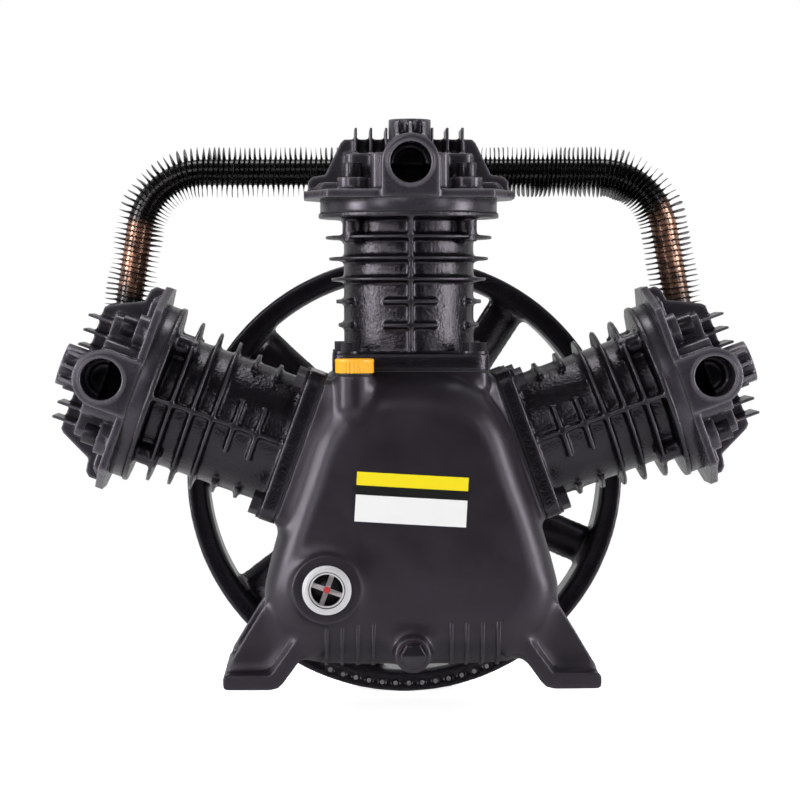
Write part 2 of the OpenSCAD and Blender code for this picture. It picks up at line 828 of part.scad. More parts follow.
module base_bolt_set() {
    face = base_z + base_t;
    color(dark_steel) at_base_bolts() {
        translate([0, 0, pad_reach - base_bolt_len + over])
            cylinder(h = face + washer_t - pad_reach + base_bolt_len, r = base_bolt_r);
        translate([0, 0, face + washer_t])
            cylinder(h = base_bolt_head, d = base_bolt_across / cos(30), $fn = 6);
    }
    color(steel) translate([0, 0, face]) at_base_bolts() difference() {
        cylinder(h = washer_t, r = washer_r);
        translate([0, 0, -over]) cylinder(h = washer_t + over * 2, r = base_bolt_r + slip);
    }
}

// Piston, rings, wrist pin and rod
piston_gap = 0.12;
piston_wall = 5;
crown_t = 9;
skirt_len = 36;
ring_h = 3;
ring_depth = 4;
ring_land = 7;
ring_count = 3;
wrist_r = 10;
wrist_bore_r = 6;
wrist_boss_r = 15;
small_end_w = 22;
small_end_r = 15;
big_end_r = 26;
rod_t = 12;
rod_web_t = 5;
rod_flange = 3;
dipper_len = 22;
dipper_w = 8;

function ring_at(k) = crown_h - ring_land * (k + 1);

module at_wrist(i) {
    translate([0, 0, wrist_w(i)]) children();
}

module piston_body() {
    r = bore_d / 2 - piston_gap;
    color(alloy) difference() {
        translate([0, 0, -skirt_len]) cylinder(h = skirt_len + crown_h, r = r);
        difference() {
            translate([0, 0, -skirt_len - over])
                cylinder(h = skirt_len + crown_h - crown_t + over, r = r - piston_wall - ring_depth);
            bar_y(wrist_boss_r, -r, -small_end_w / 2 - over);
            bar_y(wrist_boss_r, small_end_w / 2 + over, r);
        }
        bar_y(wrist_r + fit, -r - over, r + over);
        for (k = [0 : ring_count - 1]) translate([0, 0, ring_at(k)]) difference() {
            cylinder(h = ring_h, r = r + over);
            translate([0, 0, -over]) cylinder(h = ring_h + over * 2, r = r - ring_depth);
        }
    }
}

module piston_ring_set() {
    r = bore_d / 2 - fit;
    color(steel) for (k = [0 : ring_count - 1]) translate([0, 0, ring_at(k) + slip / 2]) difference() {
        cylinder(h = ring_h - slip, r = r);
        translate([0, 0, -over])
            cylinder(h = ring_h + over * 2, r = r - ring_depth + piston_gap + slip);
        rotate([0, 0, k * 360 / ring_count]) translate([0, -seat_gap, -over])
            cube([bore_d, seat_gap * 2, ring_h + over * 2]);
    }
}

module wrist_pin() {
    len_half = bore_d / 2 - piston_wall * 2;
    color(steel) difference() {
        bar_y(wrist_r, -len_half, len_half);
        bar_y(wrist_bore_r, -len_half - over, len_half + over);
    }
}

module con_rod(i) {
    u = pin_u(i);
    w = pin_w(i);
    tilt = atan2(-u, wrist_w(i) - w);
    color(alloy) translate([u, 0, w]) rotate([0, tilt, 0]) difference() {
        union() {
            bar_y(big_end_r, -rod_w / 2, rod_w / 2);
            translate([0, 0, rod_len]) bar_y(small_end_r, -small_end_w / 2, small_end_w / 2);
            along_y(-rod_t / 2, rod_t / 2) polygon([
                [-big_end_r * 0.6, 0], [big_end_r * 0.6, 0],
                [small_end_r * 0.7, rod_len], [-small_end_r * 0.7, rod_len]]);
            translate([-dipper_w / 2, -rod_web_t / 2, -big_end_r - dipper_len])
                cube([dipper_w, rod_web_t, big_end_r + dipper_len]);
        }
        bar_y(crankpin_r + fit, -rod_w, rod_w);
        translate([0, 0, rod_len]) bar_y(wrist_r + fit, -small_end_w, small_end_w);
        for (s = [0, 180]) rotate([0, 0, s]) along_y(rod_web_t / 2, rod_t) polygon([
            [rod_flange - big_end_r * 0.6, big_end_r + rod_flange],
            [big_end_r * 0.6 - rod_flange, big_end_r + rod_flange],
            [small_end_r * 0.7 - rod_flange, rod_len - small_end_r - rod_flange],
            [rod_flange - small_end_r * 0.7, rod_len - small_end_r - rod_flange]]);
    }
}

// Valve plate with its two reeds, and the gaskets on both of its faces
plate_inset = 1.5;
plate_r = top_d / 2 - plate_inset;
port_hole_r = 7;
port_hole_u = 17;
port_hole_y = 20;
reed_t = 0.6;
reed_w = 20;
reed_len = 58;

module gasket_ring(z) {
    translate([0, 0, z]) difference() {
        cylinder(h = head_gasket_t, r = plate_r);
        translate([0, 0, -over]) cylinder(h = head_gasket_t + over * 2, d = bore_d);
        at_head_bolts(-over) cylinder(h = head_gasket_t + over * 2, r = head_bolt_r + slip);
    }
}

module head_gasket_pair() {
    color(gasket_grey) {
        gasket_ring(top_z);
        gasket_ring(head_z - head_gasket_t);
    }
}

module valve_plate() {
    color(head_black) translate([0, 0, plate_z]) difference() {
        cylinder(h = plate_t, r = plate_r);
        for (u = signs) for (y = signs) translate([u * port_hole_u, y * port_hole_y, -over])
            cylinder(h = plate_t + over * 2, r = port_hole_r);
        at_head_bolts(-over) cylinder(h = plate_t + over * 2, r = head_bolt_r + slip);
    }
    color(steel) {
        translate([-reed_len / 2, -port_hole_y - reed_w / 2, plate_z - reed_t])
            cube([reed_len, reed_w, reed_t]);
        translate([-reed_len / 2, port_hole_y - reed_w / 2, plate_z + plate_t])
            cube([reed_len, reed_w, reed_t]);
    }
}

// Head casting: heights over its base
head_corner_u = 73;
head_tip_y = 24;
chamber_h = 40;
chamber_half_u = 56;
chamber_half_y = 30;
neck_half_u = 34;
neck_half_y = 60;
chamber_corner_r = 7;
screw_boss_r = 14;
screw_boss_h = 18;
screw_head_r = 9;
screw_head_h = 13;
screw_hex_across = 10;
spine_y = 9;
spine_t = 5;
spine_half_u = 90;
spine_shoulder_h = 21;
spine_h = 54.5;
low_plates_y = [-8, -20];
low_plate_half_u = [84.6, 81];
low_plate_h = 15;
low_plate_t = 4;
cross_fins_u = [20.3, 33.8, 47.3];
cross_fin_t = 2.4;
cross_fin_h = 63;
cross_fin_front = 27;
tower_r = 18.6;
tower_h = 69;
tower_y = -38;
tower_rib_t = 3;
tower_ribs_u = [-12, 0, 12];
intake_face = 76;
intake_back = 22;
intake_bore_len = 32;
intake_throat_r = 14;
intake_throat_len = 14;
outlet_boss_r = 20;
outlet_boss_from = 40;
outlet_bore_len = 33;
lip_t = 1.5;
pocket_half_u = 28;
pocket_h = 30;
pocket_wall = 6;
pocket_half_y = 44;

module head_plan() {
    quarter = [[head_half_len, head_tip_y], [head_corner_u, head_half_depth]];
    polygon(concat(
        quarter, [for (k = [1, 0]) [-quarter[k][0], quarter[k][1]]],
        -quarter, [for (k = [1, 0]) [quarter[k][0], -quarter[k][1]]]
    ));
}

module spine_outline(half_u, shoulder, top, slant) {
    polygon([
        [-half_u, 0], [-half_u, shoulder * 0.8], [-half_u + shoulder * 0.2, shoulder],
        [-half_u + slant, shoulder * 1.08], [-half_u + slant * 1.9, top - slant * 0.2],
        [-half_u + slant * 2.1, top], [half_u - slant * 2.1, top], [half_u - slant * 1.9, top - slant * 0.2],
        [half_u - slant, shoulder * 1.08], [half_u - shoulder * 0.2, shoulder],
        [half_u, shoulder * 0.8], [half_u, 0]
    ]);
}

module low_plate_outline(half_u) {
    r = low_plate_h / 3;
    polygon([[-half_u, 0], [-half_u, low_plate_h - r], [r - half_u, low_plate_h],
             [half_u - r, low_plate_h], [half_u, low_plate_h - r], [half_u, 0]]);
}

module head_forms() {
    slant = 15.5;
    linear_extrude(head_plate_t) head_plan();
    linear_extrude(chamber_h)
        soft_square(chamber_half_u * 2, chamber_half_y * 2, chamber_corner_r);
    linear_extrude(chamber_h - weld)
        soft_square(neck_half_u * 2, neck_half_y * 2, chamber_corner_r);
    // Arched intake boss with its raised lip
    along_y(-intake_face, -intake_back) {
        translate([0, port_h]) circle(d = intake_boss_w);
        translate([-intake_boss_w / 2, 0]) square([intake_boss_w, port_h]);
    }
    translate([0, 0, port_h]) bar_y(intake_d / 2 + lip_t * 2, -intake_face - lip_t, over - intake_face);
    // Round tower behind the intake, with ribs down to the arch
    translate([0, tower_y, 0]) cylinder(h = tower_h, r = tower_r);
    for (u = tower_ribs_u) translate([u - tower_rib_t / 2, 0, 0]) rotate([90, 0, 90])
        linear_extrude(tower_rib_t) polygon([
            [tower_y, tower_h - over * 3], [tower_y - tower_r - over * 2, tower_h - over * 3],
            [over * 4 - intake_face, port_h + intake_boss_w * 0.44], [tower_y, port_h]]);
    // Discharge boss
    translate([0, 0, port_h]) bar_y(outlet_boss_r, outlet_boss_from, head_half_depth + lip_t);
    // Tall spine, low plates and cross fins
    along_y(spine_y, spine_y + spine_t) spine_outline(spine_half_u, spine_shoulder_h, spine_h, slant);
    for (k = [0, 1]) along_y(low_plates_y[k], low_plates_y[k] + low_plate_t)
        low_plate_outline(low_plate_half_u[k]);
    for (s = signs) for (u = cross_fins_u)
        translate([s * u - cross_fin_t / 2, -cross_fin_front, chamber_h - weld])
            cube([cross_fin_t, cross_fin_front * 2, cross_fin_h - chamber_h + weld]);
    at_head_bolts(0) cylinder(h = screw_boss_h, r = screw_boss_r);
}

module head_casting() {
    color(head_black) translate([0, 0, head_z]) difference() {
        head_forms();
        translate([0, 0, port_h]) {
            bar_y(intake_d / 2, -intake_face - lip_t - over, intake_bore_len - intake_face);
            bar_y(intake_throat_r, intake_bore_len - intake_face - over,
                  intake_bore_len + intake_throat_len - intake_face);
            bar_y(outlet_d / 2, head_half_depth + lip_t - outlet_bore_len, head_half_depth + lip_t + over);
        }
        // Suction and discharge chambers
        for (s = signs) translate([-pocket_half_u, s > 0 ? pocket_wall / 2 : -pocket_half_y, -over])
            cube([pocket_half_u * 2, pocket_half_y - pocket_wall / 2, pocket_h + over]);
        at_head_bolts(-over) cylinder(h = screw_boss_h + over * 2, r = head_bolt_r + slip);
    }
}

module head_bolt_set() {
    top = head_z + screw_boss_h;
    bottom = top_z - head_bolt_boss_len + rib_t + over;
    color(dark_steel) difference() {
        union() {
            at_head_bolts(bottom) cylinder(h = top - bottom + weld, r = head_bolt_r);
            at_head_bolts(top) cylinder(h = screw_head_h, r = screw_head_r);
        }
        at_head_bolts(top + screw_head_h / 2)
            cylinder(h = screw_head_h, d = screw_hex_across / cos(30), $fn = 6);
    }
}

// Discharge tubes: each runs out level from the cross behind the middle head,
// bends down and leans out to the elbow behind a side head
tube_bore_r = tube_d / 2 - 2;
bend_thinning = 0.2;
arm_r = 14;
arm_bore_r = 9;
arm_len = 34;
nut_len = 22;
nut_grip = 10;
tube_plain = nut_len - nut_grip + over;
tube_nut_across = 34;
elbow_ball_r = 16;
outlet_len = 30;
outlet_collar_r = 19;
cross_z = axis_h + port_z;
side_port_x = port_z * sin(bank_angle);
side_port_z = axis_h + port_z * cos(bank_angle);
port_flange_r = 18;
port_flange_t = 5;

function lean(i) = i < 0 ? left_lean : right_lean;
// The leg starts at the side port; the bend's end lies where leg and bend meet
function bend_drop(i) = cross_z - tube_bend_r * (1 - sin(lean(i)));
function bend_x(i) = side_port_x - (bend_drop(i) - side_port_z) * tan(lean(i));
function bend_mid_x(i) = bend_x(i) - tube_bend_r * cos(lean(i));
function leg_len(i) = (bend_drop(i) - side_port_z) / cos(lean(i)) - arm_len;

// Straight finned tube along +Z with a plain start; the bend's end fin closes it
module finned_run(length, plain_start) {
    count = round((length - plain_start) / tube_fin_pitch);
    pitch = (length - plain_start) / count;
    rotate_extrude() polygon(concat(
        [[tube_bore_r, 0], [tube_d / 2, 0]],
        [for (k = [0 : count - 1]) for (p = [[0, 0], [1, 0], [1, 1], [0, 1]])
            [p[0] > 0 ? tube_fin_d / 2 : tube_d / 2,
             plain_start + k * pitch + (p[1] - 1 / 2) * tube_fin_t]],
        [[tube_d / 2, length], [tube_bore_r, length]]
    ));
}

// Bend in the front view plane, from straight out along +X round to the leg
module finned_bend(sweep) {
    arc_len = tube_bend_r * sweep * PI / 180;
    count = round(arc_len / tube_fin_pitch);
    lap = sweep * weld / arc_len;
    rotate([90, 0, 0]) rotate([0, 0, 90 - sweep - lap]) rotate_extrude(angle = sweep + lap * 2)
        translate([tube_bend_r, 0]) difference() {
            circle(r = tube_d / 2 - bend_thinning);
            circle(r = tube_bore_r + bend_thinning);
        }
    for (k = [0 : count]) rotate([0, k * sweep / count, 0])
        translate([0, 0, tube_bend_r]) rotate([0, 90, 0]) difference() {
            cylinder(h = tube_fin_t, d = tube_fin_d, center = true);
            cylinder(h = tube_fin_t * 3, r = tube_d / 2 - weld, center = true);
        }
}

module tube(i) {
    sweep = 90 - lean(i);
    run = bend_mid_x(i) - arm_len;
    color(copper) translate([0, tube_back, 0]) mirror([i < 0 ? 1 : 0, 0, 0]) {
        translate([arm_len, 0, cross_z]) rotate([0, 90, 0]) finned_run(run, tube_plain);
        translate([bend_mid_x(i), 0, cross_z - tube_bend_r]) finned_bend(sweep);
        translate([side_port_x, 0, side_port_z]) rotate([0, -lean(i), 0])
            translate([0, 0, arm_len]) finned_run(leg_len(i), tube_plain);
    }
}

// Elbow behind a side head: from the port back to the tube and up into the leg
module elbow(i) {
    face = i * bank_step + head_half_depth + lip_t;
    color(dark_steel) translate([i * side_port_x, 0, side_port_z]) difference() {
        union() {
            bar_y(outlet_d / 2 - fit, face - outlet_bore_len / 2, face + over);
            bar_y(port_flange_r, face, face + port_flange_t);
            bar_y(arm_r, face, tube_back);
            translate([0, tube_back, 0]) {
                sphere(r = elbow_ball_r);
                rotate([0, -i * lean(i), 0]) cylinder(h = arm_len, r = arm_r);
            }
        }
        bar_y(arm_bore_r, face - outlet_bore_len, tube_back);
        translate([0, tube_back, 0]) {
            sphere(r = arm_bore_r + over);
            rotate([0, -i * lean(i), 0]) cylinder(h = arm_len + over, r = arm_bore_r);
        }
    }
}

// Cross behind the middle head: both tubes come in, the outlet looks back
module centre_cross() {
    face = head_half_depth + lip_t;
    outlet_face = tube_back + outlet_len;
    color(dark_steel) translate([0, 0, cross_z]) difference() {
        union() {
            bar_y(outlet_d / 2 - fit, face - outlet_bore_len / 2, face + over);
            bar_y(port_flange_r, face, face + port_flange_t);
            bar_y(arm_r, face, tube_back);
            bar_y(outlet_collar_r, tube_back, outlet_face);
            translate([-arm_len, tube_back, 0]) rotate([0, 90, 0]) cylinder(h = arm_len * 2, r = arm_r);
            translate([0, tube_back, 0]) sphere(r = outlet_collar_r);
        }
        bar_y(arm_bore_r, face - outlet_bore_len, tube_back);
        bar_y(arm_bore_r, tube_back, outlet_face);
        bar_y(outlet_d / 2, tube_back + arm_bore_r + over, outlet_face + over);
        translate([-arm_len - over, tube_back, 0]) rotate([0, 90, 0])
            cylinder(h = arm_len * 2 + over * 2, r = arm_bore_r);
    }
}

// Union nut: grips the fitting's arm and the plain end of the tube
module tube_nut() {
    translate([0, 0, arm_len - nut_grip]) difference() {
        cylinder(h = nut_len, d = tube_nut_across / cos(30), $fn = 6);
        translate([0, 0, -over]) cylinder(h = nut_grip + over, r = arm_r + slip);
        translate([0, 0, -over]) cylinder(h = nut_len + over * 2, r = tube_d / 2 + slip);
    }
}

module tube_nuts() {
    color(steel) translate([0, tube_back, 0]) for (i = [left, right]) {
        translate([0, 0, cross_z]) rotate([0, i * 90, 0]) tube_nut();
        translate([i * side_port_x, 0, side_port_z]) rotate([0, -i * lean(i), 0]) tube_nut();
    }
}

crankcase();
filler_cap();
filler_cap_seal();
sight_ring();
sight_lens();
sight_cross();
drain_plug();
drain_washer();
rear_cover();
rear_cover_gasket();
rear_cover_bolts();
crank_front_half();
crank_rear_half();
crankpin();
front_bearing();
rear_bearing();
oil_seal();
flywheel();
flywheel_key();
flywheel_washer();
flywheel_nut();
in_bank(left) cylinder_casting();  // left_cylinder
in_bank(centre) cylinder_casting();  // centre_cylinder
in_bank(right) cylinder_casting();  // right_cylinder
in_bank(left) base_gasket();  // left_base_gasket
in_bank(centre) base_gasket();  // centre_base_gasket
in_bank(right) base_gasket();  // right_base_gasket
in_bank(left) base_bolt_set();  // left_base_bolts
in_bank(centre) base_bolt_set();  // centre_base_bolts
in_bank(right) base_bolt_set();  // right_base_bolts
in_bank(left) at_wrist(left) piston_body();  // left_piston
in_bank(centre) at_wrist(centre) piston_body();  // centre_piston
in_bank(right) at_wrist(right) piston_body();  // right_piston
in_bank(left) at_wrist(left) piston_ring_set();  // left_piston_rings
in_bank(centre) at_wrist(centre) piston_ring_set();  // centre_piston_rings
in_bank(right) at_wrist(right) piston_ring_set();  // right_piston_rings
in_bank(left) at_wrist(left) wrist_pin();  // left_wrist_pin
in_bank(centre) at_wrist(centre) wrist_pin();  // centre_wrist_pin
in_bank(right) at_wrist(right) wrist_pin();  // right_wrist_pin
in_bank(left) con_rod(left);  // left_con_rod
in_bank(centre) con_rod(centre);  // centre_con_rod
in_bank(right) con_rod(right);  // right_con_rod
in_bank(left) valve_plate();  // left_valve_plate
in_bank(centre) valve_plate();  // centre_valve_plate
in_bank(right) valve_plate();  // right_valve_plate
in_bank(left) head_gasket_pair();  // left_head_gaskets
in_bank(centre) head_gasket_pair();  // centre_head_gaskets
in_bank(right) head_gasket_pair();  // right_head_gaskets
in_bank(left) head_casting();  // left_head
in_bank(centre) head_casting();  // centre_head
in_bank(right) head_casting();  // right_head
in_bank(left) head_bolt_set();  // left_head_bolts
in_bank(centre) head_bolt_set();  // centre_head_bolts
in_bank(right) head_bolt_set();  // right_head_bolts
elbow(left);  // left_elbow
centre_cross();
elbow(right);  // right_elbow
tube(left);  // left_tube
tube(right);  // right_tube
tube_nuts();
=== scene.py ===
# Air compressor pump head: three finned cylinders in a W on a domed crankcase.
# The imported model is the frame; this script dresses it for the render.
import bpy, bmesh
import numpy as np
from math import radians
from mathutils import Euler, Matrix, Vector


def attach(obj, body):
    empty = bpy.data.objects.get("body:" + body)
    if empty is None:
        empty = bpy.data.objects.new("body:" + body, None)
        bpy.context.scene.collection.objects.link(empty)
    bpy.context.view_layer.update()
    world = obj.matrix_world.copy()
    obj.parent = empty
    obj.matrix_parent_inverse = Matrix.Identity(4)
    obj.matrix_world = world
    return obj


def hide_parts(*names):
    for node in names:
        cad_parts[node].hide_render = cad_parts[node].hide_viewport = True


mm = 0.001
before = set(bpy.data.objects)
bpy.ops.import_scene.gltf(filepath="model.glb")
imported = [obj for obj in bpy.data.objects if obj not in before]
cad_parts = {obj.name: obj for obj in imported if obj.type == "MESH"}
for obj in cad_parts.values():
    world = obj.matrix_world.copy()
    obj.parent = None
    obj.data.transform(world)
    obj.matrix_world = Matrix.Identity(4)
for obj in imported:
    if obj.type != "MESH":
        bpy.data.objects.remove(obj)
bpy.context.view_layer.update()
print("frame loaded:", len(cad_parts), "nodes")

axisHeight = 0.172
bankAngles = {"left": -70.0, "centre": 0.0, "right": 70.0}
bankSteps = {"left": -0.020, "centre": 0.0, "right": 0.020}


# Small tools
def linear(code):
    # sRGB hex to linear: x / 12.92 below 0.04045, ((x + 0.055) / 1.055) ^ 2.4 above
    s = np.array([int(code[k:k + 2], 16) for k in (1, 3, 5)]) / 255
    c = np.where(s <= 0.04045, s / 12.92, ((s + 0.055) / 1.055) ** 2.4)
    return (*c.tolist(), 1.0)


def addNode(tree, kind, inputs=None, **settings):
    # one shader node with its settings; an input given as a socket is linked
    node = tree.nodes.new(kind)
    for key, value in settings.items():
        setattr(node, key, value)
    for key, value in (inputs or {}).items():
        if isinstance(value, bpy.types.NodeSocket):
            tree.links.new(value, node.inputs[key])
        else:
            node.inputs[key].default_value = value
    return node


def calc(tree, operation, *values, clamp=False):
    # one step of arithmetic on sockets and numbers
    inputs = dict(enumerate(values))
    return addNode(tree, "ShaderNodeMath", inputs, operation=operation, use_clamp=clamp).outputs[0]


def remap(tree, value, source, target, curve="LINEAR"):
    # the value carried from one range to another and held at both ends
    inputs = {0: value, 1: source[0], 2: source[1], 3: target[0], 4: target[1]}
    return addNode(tree, "ShaderNodeMapRange", inputs, interpolation_type=curve).outputs[0]


def mixTones(tree, share, first, second):
    return addNode(tree, "ShaderNodeMix", {0: share, 6: first, 7: second}, data_type="RGBA").outputs[2]


def mixShaders(tree, share, first, second):
    return addNode(tree, "ShaderNodeMixShader", {0: share, 1: first, 2: second}).outputs[0]


def noise(tree, place, size, detail=3.0, roughness=0.5):
    # cloudy pattern with lumps about `size` mm across
    inputs = {"Vector": place, "Scale": 1 / (size * mm), "Detail": detail, "Roughness": roughness}
    return addNode(tree, "ShaderNodeTexNoise", inputs).outputs["Fac"]


def raised(tree, height, strength, depth, under=None):
    # bump `depth` mm high, laid over the bump under it
    inputs = {"Height": height, "Strength": strength, "Distance": depth * mm}
    if under is not None:
        inputs["Normal"] = under
    return addNode(tree, "ShaderNodeBump", inputs).outputs[0]


def objectPlace(tree):
    return addNode(tree, "ShaderNodeTexCoord").outputs["Object"]


def pointValue(tree, name):
    return addNode(tree, "ShaderNodeAttribute", attribute_name=name).outputs["Fac"]


def addObject(name, data):
    thing = bpy.data.objects.new(name, data)
    bpy.context.scene.collection.objects.link(thing)
    return thing


def newMaterial(name):
    material = bpy.data.materials.new(name)
    material.use_nodes = True
    tree = material.node_tree
    tree.nodes.clear()
    return material, tree


def closeMaterial(tree, inputs):
    # the finish's Principled shader, linked to the output
    shader = addNode(tree, "ShaderNodeBsdfPrincipled", inputs)
    addNode(tree, "ShaderNodeOutputMaterial", {"Surface": shader.outputs[0]})


def meshPiece(name, points, faces, material, smooth=True):
    # points as an n x 3 array in metres, faces as a list or array of corners
    mesh = bpy.data.meshes.new(name)
    mesh.from_pydata(np.asarray(points, float).tolist(), [], [list(f) for f in faces])
    mesh.polygons.foreach_set("use_smooth", [smooth] * len(mesh.polygons))
    mesh.materials.append(material)
    return addObject(name, mesh)


def toBank(points, bank):
    # the middle bank's points turned about the crank axis and moved along it
    a = radians(bankAngles[bank])
    x, z = points[:, 0], points[:, 2] - axisHeight
    return np.column_stack([x * np.cos(a) + z * np.sin(a), points[:, 1] + bankSteps[bank],
                            z * np.cos(a) - x * np.sin(a) + axisHeight])


def getPoints(mesh):
    flat = np.zeros(len(mesh.vertices) * 3)
    mesh.vertices.foreach_get("co", flat)
    return flat.reshape(-1, 3)


def getNormals(mesh):
    flat = np.zeros(len(mesh.vertices) * 3)
    mesh.vertices.foreach_get("normal", flat)
    return flat.reshape(-1, 3)


def setPoints(mesh, points):
    mesh.vertices.foreach_set("co", np.asarray(points, float).ravel())
    mesh.update()


def setValues(mesh, name, values):
    # one number a point, which a finish reads with pointValue
    mesh.attributes.new(name, "FLOAT", "POINT").data.foreach_set("value", values)


# Camera, light and floor
view = {
    "place": (-0.0717, -2.5, 0.3317),
    "yaw": 1.46,         # degrees towards +X
    "pitch": 1.925,      # degrees down
    "roll": -0.126,      # degrees about the line of sight
    "lens": 125.63,      # mm on the sensor
    "sensor": 36,
    "farthest": 50,
}
camera = addObject("camera", bpy.data.cameras.new("camera"))
camera.location = view["place"]
aimed = Euler((radians(90 - view["pitch"]), 0, radians(-view["yaw"]))).to_matrix()
camera.rotation_euler = (aimed @ Matrix.Rotation(radians(view["roll"]), 3, "Z")).to_euler()
camera.data.lens = view["lens"]
camera.data.sensor_width = view["sensor"]
camera.data.clip_end = view["farthest"]
bpy.context.scene.camera = camera
bpy.context.scene.view_settings.view_transform = "Standard"

softboxes = {
    "leftBox": {"place": (-1.7, -0.55, 0.55), "aim": (0, -0.05, 0.25), "size": (0.5, 1.3), "watts": 27},
    "rightBox": {"place": (1.7, -0.55, 0.2), "aim": (0, -0.05, 0.2), "size": (0.5, 1.7), "watts": 32},
    "topBox": {"place": (0.0, 0.35, 1.9), "aim": (0, 0, 0.25), "size": (1.3, 0.5), "watts": 13},
    "leftStrip": {"place": (-1.35, -1.75, 0.75), "aim": (0, 0, 0.25), "size": (0.28, 1.1), "watts": 9},
    "rightStrip": {"place": (1.45, -1.6, 0.65), "aim": (0, 0, 0.25), "size": (0.24, 1.1), "watts": 5.5},
    "frontFill": {"place": (-0.9, -3.2, 1.9), "aim": (0, 0, 0.25), "size": (1.4, 1.0), "watts": 12.5},
}
for name, box in softboxes.items():
    lamp = bpy.data.lights.new(name, "AREA")
    lamp.shape = "RECTANGLE"
    lamp.size, lamp.size_y = box["size"]
    lamp.energy = box["watts"]
    holder = addObject(name, lamp)
    holder.location = box["place"]
    aim = np.array(box["aim"]) - np.array(box["place"])
    holder.rotation_euler = Vector(aim).to_track_quat("-Z", "Y").to_euler()
    holder.visible_camera = False

studio = {
    "room": "#ffffff", "seen": 1.0, "roomLight": 0.16,
    "sides": 0.10, "wall": 0.60, "wallFade": (0.0, 0.5),          # wallFade: between sides and back wall
    "front": 0.02, "frontFade": (-0.85, -0.3),
    "floor": "#fafafa", "floorHalf": 0.85, "floorZ": -0.0345, "floorFade": (0.30, 0.75), "floorLift": 0.88,
}


def makeRoom():
    # The room is plain white to the camera. Gloss sees a white wall behind the pump,
    # half-lit sides and the dark end of the room in front.
    world = bpy.data.worlds.new("studio")
    bpy.context.scene.world = world
    world.use_nodes = True
    tree = world.node_tree
    tree.nodes.clear()

    def room(strength):
        inputs = {"Color": linear(studio["room"]), "Strength": strength}
        return addNode(tree, "ShaderNodeBackground", inputs).outputs[0]

    rays = addNode(tree, "ShaderNodeLightPath").outputs
    straight = calc(tree, "MAXIMUM", rays["Is Camera Ray"], rays["Is Transmission Ray"])
    way = addNode(tree, "ShaderNodeTexCoord").outputs["Generated"]
    back = addNode(tree, "ShaderNodeSeparateXYZ", {0: way}).outputs["Y"]
    wall = remap(tree, back, studio["wallFade"], (studio["sides"], studio["wall"]), "SMOOTHSTEP")
    front = remap(tree, back, studio["frontFade"], (studio["front"], 1.0), "SMOOTHSTEP")
    gloss = room(calc(tree, "MULTIPLY", wall, front))
    unseen = mixShaders(tree, rays["Is Glossy Ray"], room(studio["roomLight"]), gloss)
    mixed = mixShaders(tree, straight, unseen, room(studio["seen"]))
    addNode(tree, "ShaderNodeOutputWorld", {"Surface": mixed})


def makeFloor():
    # White paper: lit paper near the pump keeps its shadow, further out it is plain
    # white to the camera.
    material, tree = newMaterial("paperSweep")
    away = addNode(tree, "ShaderNodeVectorMath", {0: objectPlace(tree)}, operation="LENGTH").outputs["Value"]
    far = remap(tree, away, studio["floorFade"], (0.0, 1.0), "SMOOTHSTEP")
    seenByCamera = addNode(tree, "ShaderNodeLightPath").outputs["Is Camera Ray"]
    paper = addNode(tree, "ShaderNodeBsdfDiffuse", {"Color": linear(studio["floor"])}).outputs[0]

    def glow(strength):
        inputs = {"Color": linear(studio["room"]), "Strength": strength}
        return addNode(tree, "ShaderNodeEmission", inputs).outputs[0]

    lift = glow(calc(tree, "MULTIPLY", seenByCamera, studio["floorLift"]))
    near = addNode(tree, "ShaderNodeAddShader", {0: paper, 1: lift}).outputs[0]
    sweep = mixShaders(tree, calc(tree, "MULTIPLY", far, seenByCamera), near, glow(studio["seen"]))
    addNode(tree, "ShaderNodeOutputMaterial", {"Surface": sweep})
    half = studio["floorHalf"]
    corners = np.array([[-half, -half], [half, -half], [half, half], [-half, half]])
    points = np.insert(corners, 2, studio["floorZ"], axis=1)
    meshPiece("floor", points, [(0, 1, 2, 3)], material, smooth=False)


makeRoom()
makeFloor()
print("camera, lights and floor ready")


# Finishes
noiseSpan = (0.3, 0.7)                                      # most of a noise's values lie in here
depthShare = {"grain": 0.3, "pit": 0.15, "marks": 0.2}      # bump depth as a share of the lumps' size


def castEnamel(name, look):
    # Enamel sprayed on sand-cast metal: the sand grain shows through the film as
    # a fine uneven skin. Proud edges are painted paler: partly rubbed wear, partly
    # painted highlight.
    material, tree = newMaterial(name)
    place = objectPlace(tree)
    grain = noise(tree, place, look["grain"], roughness=0.6)
    patch = noise(tree, place, look["patch"], detail=4.0, roughness=0.55)
    pits = addNode(tree, "ShaderNodeTexVoronoi", {"Vector": place, "Scale": 1 / (look["pit"] * mm)},
                   feature="SMOOTH_F1").outputs["Distance"]
    tone = mixTones(tree, patch, linear(look["dark"]), linear(look["light"]))
    # proud edges painted paler: part rubbed wear, part painted highlight
    edgeWearAndSheen = calc(tree, "MULTIPLY", pointValue(tree, "edge"), look["wearAndSheenShare"])
    skin = raised(tree, grain, look["bump"], look["grain"] * depthShare["grain"])
    closeMaterial(tree, {
        "Base Color": mixTones(tree, edgeWearAndSheen, tone, linear(look["edgeWearAndSheen"])),
        "Roughness": remap(tree, patch, noiseSpan, look["rough"]),
        "Normal": raised(tree, pits, look["pitBump"], look["pit"] * depthShare["pit"], skin),
        "IOR": 1.5, "Specular Tint": (0.95, 0.87, 1.0, 1.0)})
    return material


# satin charcoal enamel on the smooth moulded dome: broad soft highlights
crankcaseEnamel = castEnamel("crankcaseEnamel", {
    "dark": "#1a161c", "light": "#201c23", "edgeWearAndSheen": "#3a363e", "wearAndSheenShare": 0.35,
    "grain": 0.9, "patch": 28, "pit": 3.2, "rough": (0.33, 0.42), "bump": 0.14, "pitBump": 0.10})
